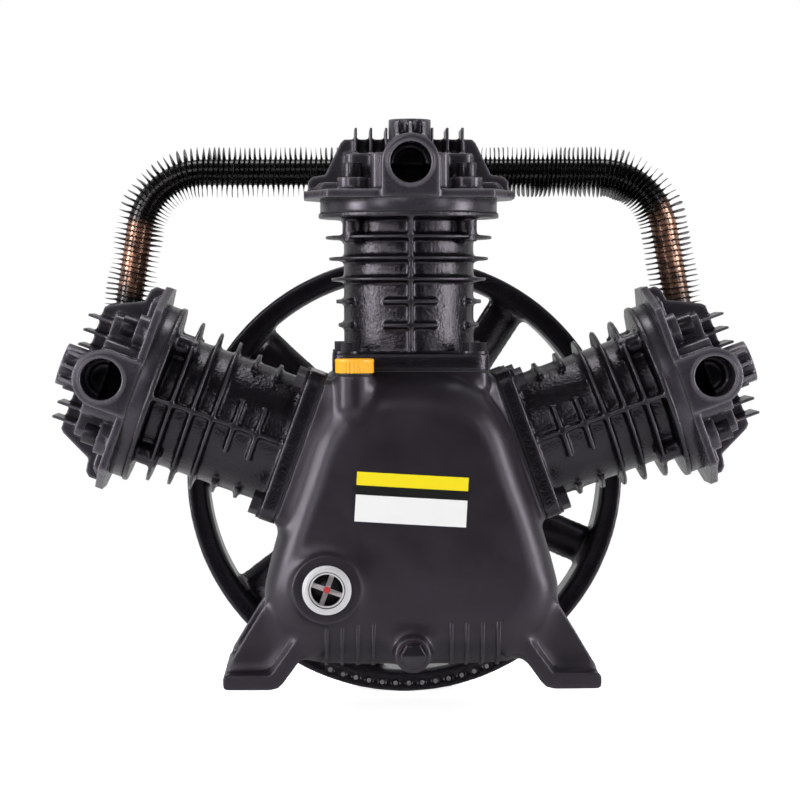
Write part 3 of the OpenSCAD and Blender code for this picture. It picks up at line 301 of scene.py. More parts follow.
# semi-gloss black enamel on rough sand-cast iron barrels
cylinderEnamel = castEnamel("cylinderEnamel", {
    "dark": "#0d0b0f", "light": "#131115", "edgeWearAndSheen": "#3a373d", "wearAndSheenShare": 0.5,
    "grain": 2.0, "patch": 12, "pit": 2.8, "rough": (0.17, 0.26), "bump": 0.75, "pitBump": 0.5})
# dark grey satin enamel on sand-cast aluminium heads
headEnamel = castEnamel("headEnamel", {
    "dark": "#2a272d", "light": "#36333a", "edgeWearAndSheen": "#6a666d", "wearAndSheenShare": 0.6,
    "grain": 0.9, "patch": 16, "pit": 2.2, "rough": (0.22, 0.32), "bump": 0.2, "pitBump": 0.14})
# gloss black enamel on the cast-iron wheel
wheelEnamel = castEnamel("wheelEnamel", {
    "dark": "#0f0d11", "light": "#161418", "edgeWearAndSheen": "#353338", "wearAndSheenShare": 0.4,
    "grain": 1.2, "patch": 20, "pit": 2.8, "rough": (0.16, 0.26), "bump": 0.45, "pitBump": 0.3})
# sprayed steel: bolts, elbows and nuts under the same black film
steelEnamel = castEnamel("steelEnamel", {
    "dark": "#151316", "light": "#1e1b20", "edgeWearAndSheen": "#504e53", "wearAndSheenShare": 0.5,
    "grain": 0.6, "patch": 9, "pit": 1.6, "rough": (0.25, 0.38), "bump": 0.08, "pitBump": 0.04})
# wet-looking film on the drain plug; its pale edges are painted highlight on the rim as well as rubbed wear
plugEnamel = castEnamel("plugEnamel", {
    "dark": "#1b191d", "light": "#262428", "edgeWearAndSheen": "#6e6b71", "wearAndSheenShare": 0.8,
    "grain": 0.6, "patch": 9, "pit": 1.6, "rough": (0.1, 0.16), "bump": 0.05, "pitBump": 0.03})


def plainMetal(name, colour, rough, scratch, scratchBump=0.05, metal=1.0, gapAndStepShade=None):
    # Machined metal: fine turning or grinding marks, a little uneven in gloss. A ring round
    # an axis along Y is dark where |distance from the axis - r| < half: a real gap with painted shade of its
    # step.
    material, tree = newMaterial(name)
    place = objectPlace(tree)
    marks = noise(tree, place, scratch, detail=4.0)
    tone = mixTones(tree, marks, linear(colour[0]), linear(colour[1]))
    if gapAndStepShade:
        centre = (gapAndStepShade["x"] * mm, 0, gapAndStepShade["z"] * mm)
        flat = addNode(tree, "ShaderNodeVectorMath", {0: place, 1: (1, 0, 1)}, operation="MULTIPLY")
        away = addNode(tree, "ShaderNodeVectorMath", {0: flat.outputs[0], 1: centre}, operation="DISTANCE")
        # dark ring: partly the real gap, partly painted shade on the step beside it
        line = calc(tree, "COMPARE", away.outputs["Value"], gapAndStepShade["r"] * mm, gapAndStepShade["half"] * mm)
        tone = mixTones(tree, line, tone, linear(gapAndStepShade["tone"]))
    closeMaterial(tree, {
        "Base Color": tone, "Metallic": metal,
        "Roughness": remap(tree, marks, noiseSpan, (rough * 0.8, rough * 1.25)),
        "Normal": raised(tree, marks, scratchBump, scratch * depthShare["marks"])})
    return material


sightAxis = {"x": -74.0, "z": 88.0}          # mm
# the dark ring at r 15.5 mm is partly the gap at the bezel, partly painted shade of the step
turnedAluminium = plainMetal("turnedAluminium", ("#c6c4c8", "#e6e4e7"), 0.42, 0.5, metal=0.45,
                             gapAndStepShade={**sightAxis, "r": 15.5, "half": 0.45, "tone": "#4a474c"})
castPistonAlloy = plainMetal("castPistonAlloy", ("#8f9093", "#b5b6b9"), 0.42, 1.2, 0.2)
zincSteel = plainMetal("zincSteel", ("#8c8f94", "#b4b7bb"), 0.32, 0.8)
groundSteel = plainMetal("groundSteel", ("#7d8085", "#a6a9ad"), 0.26, 0.4)
softCopper = plainMetal("softCopper", ("#a9623e", "#d18a5f"), 0.3, 0.7)
reflectorAlloy = plainMetal("reflectorAlloy", ("#c4bbbe", "#e6dde0"), 0.45, 0.9, metal=0.1)
# near-white tone for the drilled cones: bare iron with painted glint
bareIronAndGlint = plainMetal("bareIronAndGlint", ("#8d8b90", "#f4f2f6"), 0.35, 0.9, metal=0.4)


def mouldedPolymer(name, colour, rough, grain, bump, alpha=1.0):
    # Moulded plastic or rubber: one dye all through, fine tool grain on the skin
    material, tree = newMaterial(name)
    tool = noise(tree, objectPlace(tree), grain)
    closeMaterial(tree, {
        "Base Color": mixTones(tree, tool, linear(colour[0]), linear(colour[1])), "Roughness": rough,
        "Normal": raised(tree, tool, bump, grain * depthShare["marks"]), "IOR": 1.48, "Alpha": alpha})
    return material


capPolyethylene = mouldedPolymer("capPolyethylene", ("#f4a616", "#ffc238"), 0.36, 0.6, 0.08)
nitrileRubber = mouldedPolymer("nitrileRubber", ("#111112", "#1a1a1b"), 0.6, 0.5, 0.2)
fibreGasket = mouldedPolymer("fibreGasket", ("#28282a", "#3a3a3c"), 0.75, 0.7, 0.35)
redSpot = mouldedPolymer("redSpot", ("#dc2a32", "#f2545a"), 0.35, 0.4, 0.05)
# near-black disc behind the sight window: painted shade of the cavity
paintedCavityShade = mouldedPolymer("paintedCavityShade", ("#060506", "#0b090a"), 0.3, 2.0, 0.0)
clearWindow = mouldedPolymer("clearWindow", ("#0a0a0c", "#0f0f12"), 0.05, 2.0, 0.0, alpha=0.1)
print("finishes ready")


# Cast pieces from the CAD's own solids
def mergedCopy(node, name):
    # the CAD node's loose triangles joined at their corners
    bm = bmesh.new()
    bm.from_mesh(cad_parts[node].data)
    bmesh.ops.remove_doubles(bm, verts=bm.verts, dist=2e-6)
    mesh = bpy.data.meshes.new(name)
    bm.to_mesh(mesh)
    bm.free()
    return addObject(name, mesh)


def edgePairs(mesh):
    flat = np.zeros(len(mesh.edges) * 2, int)
    mesh.edges.foreach_get("vertices", flat)
    return flat.reshape(-1, 2)


def neighbourMean(values, pairs, count):
    # mean of the values at the far ends of each point's edges
    total = np.zeros((count, values.shape[1]))
    for axis in range(values.shape[1]):
        total[:, axis] = (np.bincount(pairs[:, 0], values[pairs[:, 1], axis], count)
                          + np.bincount(pairs[:, 1], values[pairs[:, 0], axis], count))
    ends = np.bincount(pairs.ravel(), minlength=count)[:, None]
    return total / np.maximum(ends, 1)


def castWaver(points, size, seed, count=14):
    # sum of plane waves with random directions and starts, each 0.6 to 1.4 times as
    # steep as one of length `size`, divided by sqrt(count / 2) for a mean square of 1
    rng = np.random.default_rng(seed)
    waves = rng.normal(size=(count, 3))
    lengths = np.linalg.norm(waves, axis=1, keepdims=True)
    waves *= (2 * np.pi / size) * rng.uniform(0.6, 1.4, (count, 1)) / lengths
    return np.sin(points @ waves.T + rng.uniform(0, 6.28, count)).sum(axis=1) / np.sqrt(count / 2)


smoothing = {"there": 0.5, "back": -0.53, "fill": 0.8, "renewEvery": 8, "widePasses": 3}


def soften(piece, cast):
    # Voxel remesh, then Taubin smoothing: each pass moves a point a share of the way
    # to its neighbours' mean and back by a little more, and the last one only goes
    # there. Fillets follow, and a slow waver along the normal comes at the end.
    # The "edge" attribute is how far a point stands proud of its neighbours.
    bpy.context.view_layer.objects.active = piece
    piece.data.remesh_voxel_size = cast["voxel"] * mm
    piece.data.remesh_voxel_adaptivity = 0
    bpy.ops.object.voxel_remesh()
    mesh = piece.data
    points, pairs = getPoints(mesh), edgePairs(mesh)
    count = len(points)
    for push in ([smoothing["there"], smoothing["back"]] * cast["passes"])[:-1]:
        points = points + push * (neighbourMean(points, pairs, count) - points)
    # fillets: a point in a hollow, with its neighbours' mean outside along the
    # normal, moves most of the way there; proud points stay
    for step in range(cast["fillet"]):
        if step % smoothing["renewEvery"] == 0:
            setPoints(mesh, points)
            normals = getNormals(mesh)
        offset = neighbourMean(points, pairs, count) - points
        outward = (offset * normals).sum(axis=1)
        points = points + normals * np.maximum(outward, 0)[:, None] * smoothing["fill"]
    setPoints(mesh, points)
    normals = getNormals(mesh)
    wide = points
    for step in range(smoothing["widePasses"]):
        wide = neighbourMean(wide, pairs, count)
    proud = ((points - wide) * normals).sum(axis=1) / (cast["voxel"] * mm)
    edge = np.clip(proud * cast["edgeGain"], 0, 1)[:, None]
    edge = neighbourMean(edge, pairs, count)
    points = points + normals * (castWaver(points, cast["waver"][0] * mm, 7) * cast["waver"][1] * mm)[:, None]
    setPoints(mesh, points)
    setValues(mesh, "edge", edge[:, 0])
    mesh.polygons.foreach_set("use_smooth", [True] * len(mesh.polygons))
    print(piece.name, len(mesh.polygons), "faces")


def bankCopies(piece, part, material, record):
    # the middle bank's casting, set in all three banks, each for its own node
    for bank in bankAngles:
        if bank == "centre":
            copy = piece
        else:
            copy = piece.copy()
            copy.data = piece.data.copy()
            bpy.context.scene.collection.objects.link(copy)
            setPoints(copy.data, toBank(getPoints(piece.data), bank))
        copy.name = bank + part
        copy.data.materials.clear()
        copy.data.materials.append(material)
        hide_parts(record.format(bank))
        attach(copy, "pump")


barrelCast = {"voxel": 1.5, "passes": 6, "fillet": 6, "edgeGain": 5.0, "waver": (16.0, 0.05)}
headCast = {"voxel": 1.3, "passes": 4, "fillet": 8, "edgeGain": 5.0, "waver": (18.0, 0.03)}
wheelCast = {"voxel": 2.3, "passes": 5, "fillet": 10, "edgeGain": 5.0, "waver": (18.0, 0.05)}
caseCast = {"voxel": 2.0, "passes": 6, "fillet": 60, "edgeGain": 4.0, "waver": (30.0, 0.06)}
ribCast = {"voxel": 1.0, "passes": 6, "fillet": 0, "edgeGain": 4.0, "waver": (30.0, 0.02)}

barrel = mergedCopy("centre_cylinder", "centreBarrel")
soften(barrel, barrelCast)
bankCopies(barrel, "Barrel", cylinderEnamel, "{}_cylinder")
head = mergedCopy("centre_head", "centreHeadCasting")
soften(head, headCast)
bankCopies(head, "HeadCasting", headEnamel, "{}_head")
wheel = mergedCopy("flywheel", "fanWheel")
soften(wheel, wheelCast)
wheel.data.materials.append(wheelEnamel)
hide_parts("flywheel")
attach(wheel, "crank")


# Crankcase
def smoothCurve(points, steps):
    # Catmull-Rom through the points: b + (c-a)t/2 + (2a-5b+4c-d)t^2/2 + (3b-a-3c+d)t^3/2
    p = np.asarray(points, float)
    p = np.vstack([p[:1], p, p[-1:]])
    a, b, c, d = (p[k:len(p) - 3 + k, None, :] for k in range(4))
    t = (np.arange(steps) / steps)[None, :, None]
    return (b + (c - a) * t / 2 + (2 * a - 5 * b + 4 * c - d) * t ** 2 / 2
            + (3 * b - a - 3 * c + d) * t ** 3 / 2).reshape(-1, 2)


def loopGrid(rings):
    # rings as an m x n x 3 array, each a closed loop; ends closed with flat caps
    m, n = rings.shape[:2]
    k = np.arange((m - 1) * n).reshape(m - 1, n)
    quads = np.stack([k, np.roll(k, -1, axis=1), np.roll(k, -1, axis=1) + n, k + n], axis=-1).reshape(-1, 4)
    return rings.reshape(-1, 3), quads.tolist() + [list(range(n))[::-1], list(range((m - 1) * n, m * n))]


def prism(outline, y0, y1):
    # a front view outline (x, z) carried straight from y0 back to y1
    outline = np.asarray(outline, float)
    return loopGrid(np.stack([np.insert(outline, 1, y, axis=1) for y in (y1, y0)]))


def turned(profile, centre, steps=96):
    # (radius, y) profile turned about a line along Y through the centre (x, z)
    a = np.linspace(0, 2 * np.pi, steps, endpoint=False)
    profile = np.asarray(profile, float)
    r, y = profile[:, :1], profile[:, 1:]
    return loopGrid(np.stack([centre[0] + r * np.cos(a), y + 0 * a, centre[1] + r * np.sin(a)], axis=-1))


def turnedUp(profile, centre, steps=96):
    # (radius, z) profile turned about an upright line through the centre (x, y)
    a = np.linspace(0, 2 * np.pi, steps, endpoint=False)
    profile = np.asarray(profile, float)
    r, z = profile[:, :1], profile[:, 1:]
    return loopGrid(np.stack([centre[0] + r * np.cos(a), centre[1] + r * np.sin(a), z + 0 * a], axis=-1))


def joined(name, forms, material):
    # several closed forms, in mm, as one mesh object in metres
    points, faces, start = [], [], 0
    for p, f in forms:
        points.append(p)
        faces += [[start + k for k in face] for face in f]
        start += len(p)
    return meshPiece(name, np.vstack(points) * mm, faces, material)


shaftZ = axisHeight / mm
dome = {
    "halfWidth": 128.0, "top": 100.5, "depth": 152.5,     # mm, from the crank axis
    "front": 105.0, "back": 92.0, "edge": 34.0, "crown": 4.0,
    "upper": [(0, 1), (0.19, 0.99), (0.35, 0.94), (0.5, 0.81), (0.6, 0.66), (0.68, 0.465), (0.78, 0.08)],
    "lower": [(0.87, 0.16), (0.965, 0.43), (1, 0.61), (0.925, 0.82), (0.76, 0.95), (0.55, 0.995), (0, 1)],
    "steps": 14, "edgeSteps": 24, "faceSteps": 12, "eye": 0.02,
}


def domeForm():
    # The outline shrinks towards its middle along a quarter circle at the front
    # edge, then runs in over a shallow crown: share k of the face at y = crown k^2,
    # down to a small flat eye.
    upper = np.array(dome["upper"]) * (dome["halfWidth"], dome["top"])
    lower = np.array(dome["lower"]) * (dome["halfWidth"], -dome["depth"])
    rightSide = np.vstack([smoothCurve(np.vstack([upper, lower]), dome["steps"]), [[0, -dome["depth"]]]])
    outline = np.vstack([rightSide, rightSide[-2:0:-1] * (-1, 1)])
    faceShare = 1 - dome["edge"] / dome["halfWidth"]
    a = np.linspace(0, np.pi / 2, dome["edgeSteps"])
    k = np.linspace(1, dome["eye"], dome["faceSteps"])[1:]
    share = np.concatenate([[1], 1 - (1 - faceShare) * (1 - np.cos(a)), faceShare * k])
    y = np.concatenate([[dome["back"]], dome["crown"] - dome["front"] + dome["edge"] * (1 - np.sin(a)),
                        dome["crown"] * k ** 2 - dome["front"]])
    middle = (dome["top"] - dome["depth"]) / 2
    x = outline[None, :, 0] * share[:, None]
    z = middle + (outline[None, :, 1] - middle) * share[:, None] + shaftZ
    return loopGrid(np.stack([x, np.repeat(y[:, None], len(outline), 1), z], axis=-1))


pad = {"half": 68.5, "corner": 10.0, "from": 55.0, "reach": 102.5, "flange": 14.0, "inset": 4.0,
       "step": 2.0, "points": 64}


def padForm(bank):
    # rounded square block out to the gasket face, a little narrower under its flange
    a = np.linspace(0, 2 * np.pi, pad["points"], endpoint=False) + np.pi / pad["points"]
    turn = np.sign(np.stack([np.cos(a), np.sin(a)], axis=1))
    unit = turn * (pad["half"] - pad["corner"]) + pad["corner"] * np.stack([np.cos(a), np.sin(a)], axis=1)
    shrink = 1 - pad["inset"] / pad["half"]
    under = pad["reach"] - pad["flange"]
    levels = [(pad["from"], shrink), (under - pad["step"], shrink), (under, 1), (pad["reach"], 1)]
    rings = np.stack([np.column_stack([unit * s, np.full(len(unit), h + shaftZ)]) for h, s in levels])
    points, faces = loopGrid(rings)
    return toBank(points * mm, bank) / mm, faces


foot = {
    "front": -94.0, "back": 76.0, "outer": 164.0, "gap": 116.2, "plate": 13.0, "rise": 93.5, "riseZ": 31.0,
    "setBack": 12.0, "wall": 10.0, "inset": 4.0, "topX": 122.0, "topZ": 82.0, "toe": 6.0,
}


def footForms(side):
    # bent plate along the bottom and up the inner slope, with two gusset walls on it
    f = foot
    plate = [(f["outer"] - 3.5, 0), (f["outer"] - 1, 1), (f["outer"], 3.5), (f["outer"], f["plate"] - 2.5),
             (f["outer"] - 2.5, f["plate"]), (f["gap"] + 6.6, f["plate"]),
             (f["rise"] + 7.5, f["riseZ"] + 12), (f["rise"] + 1.5, f["riseZ"] + 12.5),
             (f["rise"] - f["plate"], f["riseZ"] + 7), (f["rise"] - f["plate"], f["riseZ"] - 4),
             (f["rise"], f["riseZ"]), (f["gap"] - 4.1, 5.6), (f["gap"] + 0.4, 1.4), (f["gap"] + 7, 0)]
    wall = [(f["outer"] - f["inset"], f["plate"] - 1), (f["outer"] - f["inset"], f["plate"] + f["toe"]),
            (f["topX"], f["topZ"]), (f["rise"], f["topZ"]), (f["rise"], f["riseZ"] + 8),
            (f["gap"] + 5, f["plate"] - 1)]
    mirror = np.array([side, 1.0])
    turn = slice(None, None, int(side))
    frontWall = f["front"] + f["setBack"]
    backWall = f["back"] - f["setBack"]
    return [prism((np.array(plate) * mirror)[turn], f["front"], f["back"]),
            prism((np.array(wall) * mirror)[turn], frontWall, frontWall + f["wall"]),
            prism((np.array(wall) * mirror)[turn], backWall - f["wall"], backWall)]


filler = {
    "x": -49.5, "y": -87.0, "top": 100.0, "shoulder": 72.0, "root": 44.0, "radius": 16.5, "rootRadius": 9.0,
}
sight = {"radius": 30.0, "face": -107.5, "back": -80.0, "bore": 16.5, "floor": -99.0}
drain = {"z": -140.5, "radius": 15.5, "face": -109.0, "back": -62.0}
coverSeat = {"radius": 98.1, "front": 60.0}
ribs = {
    "start": 33.5, "pitch": 13.6, "count": 4, "thick": 3.4,
    "side": [(-100.6, -111.0), (-102.6, -117.0), (-102.6, -130.0), (-98.0, -141.0), (-89.0, -148.6),
             (-77.0, -152.8), (-62.0, -152.8), (-62.0, -111.0)],       # y and height from the crank axis
}


def ribForms():
    # thin ribs that stand a little proud of the dome's lower front edge
    side = np.array(ribs["side"]) + (0, shaftZ)
    forms = []
    for way in (-1, 1):
        for k in range(ribs["count"]):
            x = way * (ribs["start"] + k * ribs["pitch"])
            sides = [np.insert(side, 0, x + face * ribs["thick"] / 2, axis=1) for face in (1, -1)]
            forms.append(loopGrid(np.stack(sides)))
    return forms


caseForms = [domeForm()] + [padForm(bank) for bank in bankAngles] + footForms(-1) + footForms(1)
neck = [(filler["rootRadius"], shaftZ + filler["root"]), (filler["radius"], shaftZ + filler["shoulder"]),
        (filler["radius"], shaftZ + filler["top"])]
sightMiddle = (sightAxis["x"], sightAxis["z"])
caseForms.append(turnedUp(neck, (filler["x"], filler["y"])))
caseForms.append(turned([(sight["radius"], sight["back"]), (sight["radius"], sight["face"])], sightMiddle))
caseForms.append(turned([(drain["radius"], drain["back"]), (drain["radius"], drain["face"])],
                        (0, shaftZ + drain["z"])))
caseForms.append(turned([(coverSeat["radius"], coverSeat["front"]), (coverSeat["radius"], dome["back"])],
                        (0, shaftZ)))
case = joined("crankcaseBody", caseForms, crankcaseEnamel)
soften(case, caseCast)
# the boss is bored for the sight glass: its face inside the bore goes back to the floor
spots = getPoints(case.data) / mm
bored = np.hypot(*(spots[:, ::2] - sightMiddle).T) < sight["bore"]
bored &= spots[:, 1] < sight["floor"]
spots[bored, 1] = sight["floor"]
setPoints(case.data, spots * mm)
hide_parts("crankcase")
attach(case, "pump")
sumpRibs = joined("sumpRibs", ribForms(), crankcaseEnamel)
soften(sumpRibs, ribCast)
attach(sumpRibs, "pump")
print("crankcase ready")


# Finned discharge tubes
portReach = 284.8                            # mm from the crank axis to a head's discharge port
sideTurn = radians(bankAngles["right"])
tubes = {
    "bend": 60.0, "back": 112.0, "level": 456.8, "arm": 34.0, "radius": 12.0,        # mm
    "portX": portReach * np.sin(sideTurn), "portZ": shaftZ + portReach * np.cos(sideTurn),
    "lean": {"left": 8.5, "right": 10.5}, "pitch": {"left": (4.75, 4.7), "right": (4.1, 5.0)},
    "tip": 23.3, "tipWaver": 0.35, "stray": 0.45, "sink": 0.4, "thick": 0.5, "plain": 13.0,
    "waves": 19, "waveHeight": 1.15, "waveReach": 0.34, "segments": 76, "rings": 150, "sides": 40,
}


def tubeLine(bank, s):
    # Place and direction at lengths s along the centre line: level run, quarter
    # circle (less the lean), then a straight leg that leans out to the side port.
    t, lean = tubes, radians(tubes["lean"][bank])
    sweep = np.pi / 2 - lean
    drop = t["level"] - t["bend"] * (1 - np.sin(lean))
    endX = t["portX"] - (drop - t["portZ"]) * np.tan(lean)
    midX = endX - t["bend"] * np.cos(lean)
    first = midX - t["arm"]
    second = first + t["bend"] * sweep
    total = second + (drop - t["portZ"]) / np.cos(lean) - t["arm"]
    a = np.clip((s - first) / t["bend"], 0, sweep)
    run, leg = np.minimum(s, first), np.maximum(s - second, 0)
    x = t["arm"] + run + t["bend"] * np.sin(a) + leg * np.sin(lean)
    z = t["level"] - t["bend"] * (1 - np.cos(a)) - leg * np.cos(lean)
    way = -1.0 if bank == "left" else 1.0
    place = np.stack([way * x, np.full_like(x, t["back"]), z], axis=-1)
    along = np.stack([way * np.cos(a), 0 * a, -np.sin(a)], axis=-1)
    return place, along, (first, second, total)


bareCopper = {                               # mm along the leg, from the end of the bend
    "left": {"from": -8.0, "to": 66.0, "fade": 18.0},
    "right": {"from": -22.0, "to": 80.0, "fade": 40.0},
    "rise": 8.0, "reach": 0.42,
}


def bareShare(bank, s):
    # rises from 0 to 1 over `rise` at the start and falls back over `fade` at the end
    window = bareCopper[bank]
    up = np.clip((s - window["from"]) / bareCopper["rise"], 0, 1)
    down = np.clip((window["to"] - s) / window["fade"], 0, 1)
    return up * down


# the strip's section, from its foot over the tip and back: height as a share of its
# reach, and side as a share of half its thickness
stripReach = np.array([0.0, 0.16, 0.45, 1.0, 0.45, 0.16, 0.0])
stripFace = np.array([1, 1, 0.8, 0, -0.8, -1, -1])
towardsBack = np.array([0.0, 1.0, 0.0])


def finTurns(bank, first, second, total):
    # lengths at which the strip's turns start; their pitch changes round the bend
    near, far = tubes["pitch"][bank]
    starts = [tubes["plain"]]
    while starts[-1] < total - tubes["plain"]:
        share = np.clip((starts[-1] - first) / (second - first), 0, 1)
        starts.append(starts[-1] + near + (far - near) * share)
    return np.array(starts[:-1])


def finStrip(bank, f, s):
    # One strip wound on edge: at turn angle f it stands out along cos(f) N + sin(f) Y.
    # Its foot is crimped into waves of sin(waves f) that die out a third of the way
    # up, and it thins to an edge at the tip.
    t = tubes
    place, along, _ = tubeLine(bank, s)
    out = np.cos(f)[:, None] * np.cross(along, towardsBack) + np.sin(f)[:, None] * towardsBack
    fade = np.clip(1 - stripReach / t["waveReach"], 0, 1)
    jitter = castWaver(place * 0.04 + out * 0.6, 1.0, 3 if bank == "left" else 5)
    tip = t["tip"] + t["tipWaver"] * castWaver(place * 0.05, 1.0, 11)
    root = t["radius"] - t["sink"]
    r = root + (tip[:, None] - root) * stripReach
    shift = (t["waveHeight"] * np.sin(t["waves"] * f)[:, None] * fade + stripFace * t["thick"] / 2
             + (t["stray"] * jitter)[:, None] * stripReach ** 2)
    points = place[:, None] + out[:, None] * r[..., None] + along[:, None] * shift[..., None]
    grid = np.arange(r.size).reshape(r.shape)
    quads = np.stack([grid[:-1, :-1], grid[:-1, 1:], grid[1:, 1:], grid[1:, :-1]], axis=-1).reshape(-1, 4)
    ends = [grid[0][::-1], grid[-1]]
    if bank == "left":
        quads, ends = quads[:, ::-1], [end[::-1] for end in ends]
    return points.reshape(-1, 3), quads.tolist() + [end.tolist() for end in ends]


def tubeBody(bank, s):
    # the tube itself: circles of its radius set square on the centre line
    place, along, _ = tubeLine(bank, s)
    a = np.linspace(0, 2 * np.pi, tubes["sides"], endpoint=False)[None, :, None]
    out = np.cos(a) * np.cross(along, towardsBack)[:, None] + np.sin(a) * towardsBack
    points, faces = loopGrid(place[:, None] + out * tubes["radius"])
    return points, [face[::-1] for face in faces] if bank == "right" else faces


def finnedTube(bank):
    first, second, total = tubeLine(bank, np.zeros(1))[2]
    turns = finTurns(bank, first, second, total)
    u = np.arange((len(turns) - 1) * tubes["segments"] + 1) / tubes["segments"]
    strip = np.interp(u, np.arange(len(turns)), turns)
    body = np.linspace(0, total, tubes["rings"])
    piece = joined(bank + "FinnedTube", [finStrip(bank, 2 * np.pi * u, strip), tubeBody(bank, body)],
                   finnedCopper)
    # bare share: strongest at the strip's foot, where the spray hardly reached between
    # the fins, and only along the upper part of the leg
    stripBare = bareShare(bank, strip - second)[:, None] * np.clip(1 - stripReach / bareCopper["reach"], 0, 1)
    bodyBare = np.repeat(bareShare(bank, body - second), tubes["sides"])
    stripFoot = np.tile(1 - stripReach, len(strip))
    setValues(piece.data, "bare", np.concatenate([stripBare.ravel(), bodyBare]))
    setValues(piece.data, "foot", np.concatenate([stripFoot, np.ones(len(bodyBare))]))
    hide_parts(bank + "_tube")
    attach(piece, "pump")
    print(piece.name, len(turns), "turns", len(piece.data.polygons), "faces")


tubeFinish = {
    "black": "#0f0e11", "copper": ("#a8765e", "#e6b49c"), "metal": 0.55, "rough": (0.2, 0.36),
    "spray": 7.0, "sprayed": (0.36, 0.56), "film": (0.25, 1.0), "haze": 0.015, "tarnish": 2.2,
}


def finnedCopperMaterial():
    # Copper tube with a copper strip wound on it, sprayed black from outside: the
    # tips and backs are semi-gloss black, the crimped feet still show bare copper.
    material, tree = newMaterial("finnedCopper")
    place = objectPlace(tree)
    spray = noise(tree, place, tubeFinish["spray"], detail=4.0)
    tarnish = noise(tree, place, tubeFinish["tarnish"])
    film = remap(tree, spray, tubeFinish["sprayed"], tubeFinish["film"])
    haze = calc(tree, "MULTIPLY", pointValue(tree, "foot"), tubeFinish["haze"])
    share = calc(tree, "ADD", calc(tree, "MULTIPLY", pointValue(tree, "bare"), film), haze, clamp=True)
    copper = mixTones(tree, tarnish, *(linear(code) for code in tubeFinish["copper"]))
    closeMaterial(tree, {
        "Base Color": mixTones(tree, share, linear(tubeFinish["black"]), copper),
        "Metallic": calc(tree, "MULTIPLY", share, tubeFinish["metal"]),
        "Roughness": remap(tree, spray, noiseSpan, tubeFinish["rough"]),
        "Normal": raised(tree, tarnish, 0.15, 0.3)})
    return material


finnedCopper = finnedCopperMaterial()
for bank in ("left", "right"):
    finnedTube(bank)
print("tubes ready")


# Plate on the dome
sticker = {
    "x": -0.8, "z": shaftZ - 6.6, "width": 96.3, "height": 42.9, "tilt": -3.44, "lift": 0.25,
    "yellow": 0.27, "black": 0.19, "tones": ("#f2dd1c", "#161616", "#ececec"), "rough": (0.28, 0.36),
    "grid": (61, 31), "from": -130.0,
}


def stickerPlate():
    # Printed vinyl: a flat grid turned by its tilt and laid on the dome along Y.
    # v runs 0 at the top to 1 at the bottom and picks the printed field.
    material, tree = newMaterial("printedVinyl")
    v = pointValue(tree, "down")
    ink = noise(tree, objectPlace(tree), 3)
    yellow, black, white = (linear(code) for code in sticker["tones"])
    tone = mixTones(tree, calc(tree, "GREATER_THAN", v, sticker["yellow"]), yellow, black)
    tone = mixTones(tree, calc(tree, "GREATER_THAN", v, sticker["yellow"] + sticker["black"]), tone, white)
    closeMaterial(tree, {"Base Color": tone, "Roughness": remap(tree, ink, noiseSpan, sticker["rough"])})
    across, down = sticker["grid"]
    u, v = np.meshgrid(np.linspace(-0.5, 0.5, across), np.linspace(0, 1, down))
    a = radians(sticker["tilt"])
    w, h = u * sticker["width"], (0.5 - v) * sticker["height"]
    x = sticker["x"] + w * np.cos(a) - h * np.sin(a)
    z = sticker["z"] + w * np.sin(a) + h * np.cos(a)
    points = np.stack([x, np.full_like(x, sticker["from"]), z], axis=-1).reshape(-1, 3) * mm
    grid = np.arange(across * down).reshape(down, across)
    quads = np.stack([grid[:-1, :-1], grid[1:, :-1], grid[1:, 1:], grid[:-1, 1:]], axis=-1).reshape(-1, 4)
    plate = meshPiece("colourPlate", points, quads, material)
    wrap = plate.modifiers.new("lay", "SHRINKWRAP")
    wrap.target = case
    wrap.wrap_method = "PROJECT"
    wrap.use_project_y = True
    wrap.use_positive_direction, wrap.use_negative_direction = True, False
    wrap.offset = sticker["lift"] * mm
    bpy.context.view_layer.objects.active = plate
    bpy.ops.object.modifier_apply(modifier="lay")
    laid = getPoints(plate.data)
    print("plate y from", round(laid[:, 1].min() / mm, 2), "to", round(laid[:, 1].max() / mm, 2), "mm")
    setValues(plate.data, "down", v.ravel())
    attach(plate, "pump")


stickerPlate()
print("plate ready")


# Smaller machined pieces
edges = {"flat": 0.6, "sharp": 32, "segments": 2}       # degrees: joined below flat, rounded over sharp


def bevelledCopy(node, body, material, width):
    # the node's solid with its edges rounded to `width` mm
    piece = mergedCopy(node, node + "Part")
    mesh = piece.data
    bm = bmesh.new()
    bm.from_mesh(mesh)
    bmesh.ops.dissolve_limit(bm, angle_limit=radians(edges["flat"]), verts=bm.verts, edges=bm.edges)
    bm.to_mesh(mesh)
    bm.free()
    bevel = piece.modifiers.new("edges", "BEVEL")
    bevel.width = width * mm
    bevel.segments = edges["segments"]
    bevel.limit_method = "ANGLE"
    bevel.angle_limit = radians(edges["sharp"])
    mesh.materials.clear()
    mesh.materials.append(material)
    bpy.context.view_layer.objects.active = piece
    piece.select_set(True)
    bpy.ops.object.modifier_apply(modifier=bevel.name)
    piece.data.polygons.foreach_set("use_smooth", [True] * len(piece.data.polygons))
    bpy.ops.object.shade_smooth_by_angle(angle=radians(edges["sharp"]), keep_sharp_edges=False)
    piece.select_set(False)
    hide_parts(node)
    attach(piece, body)


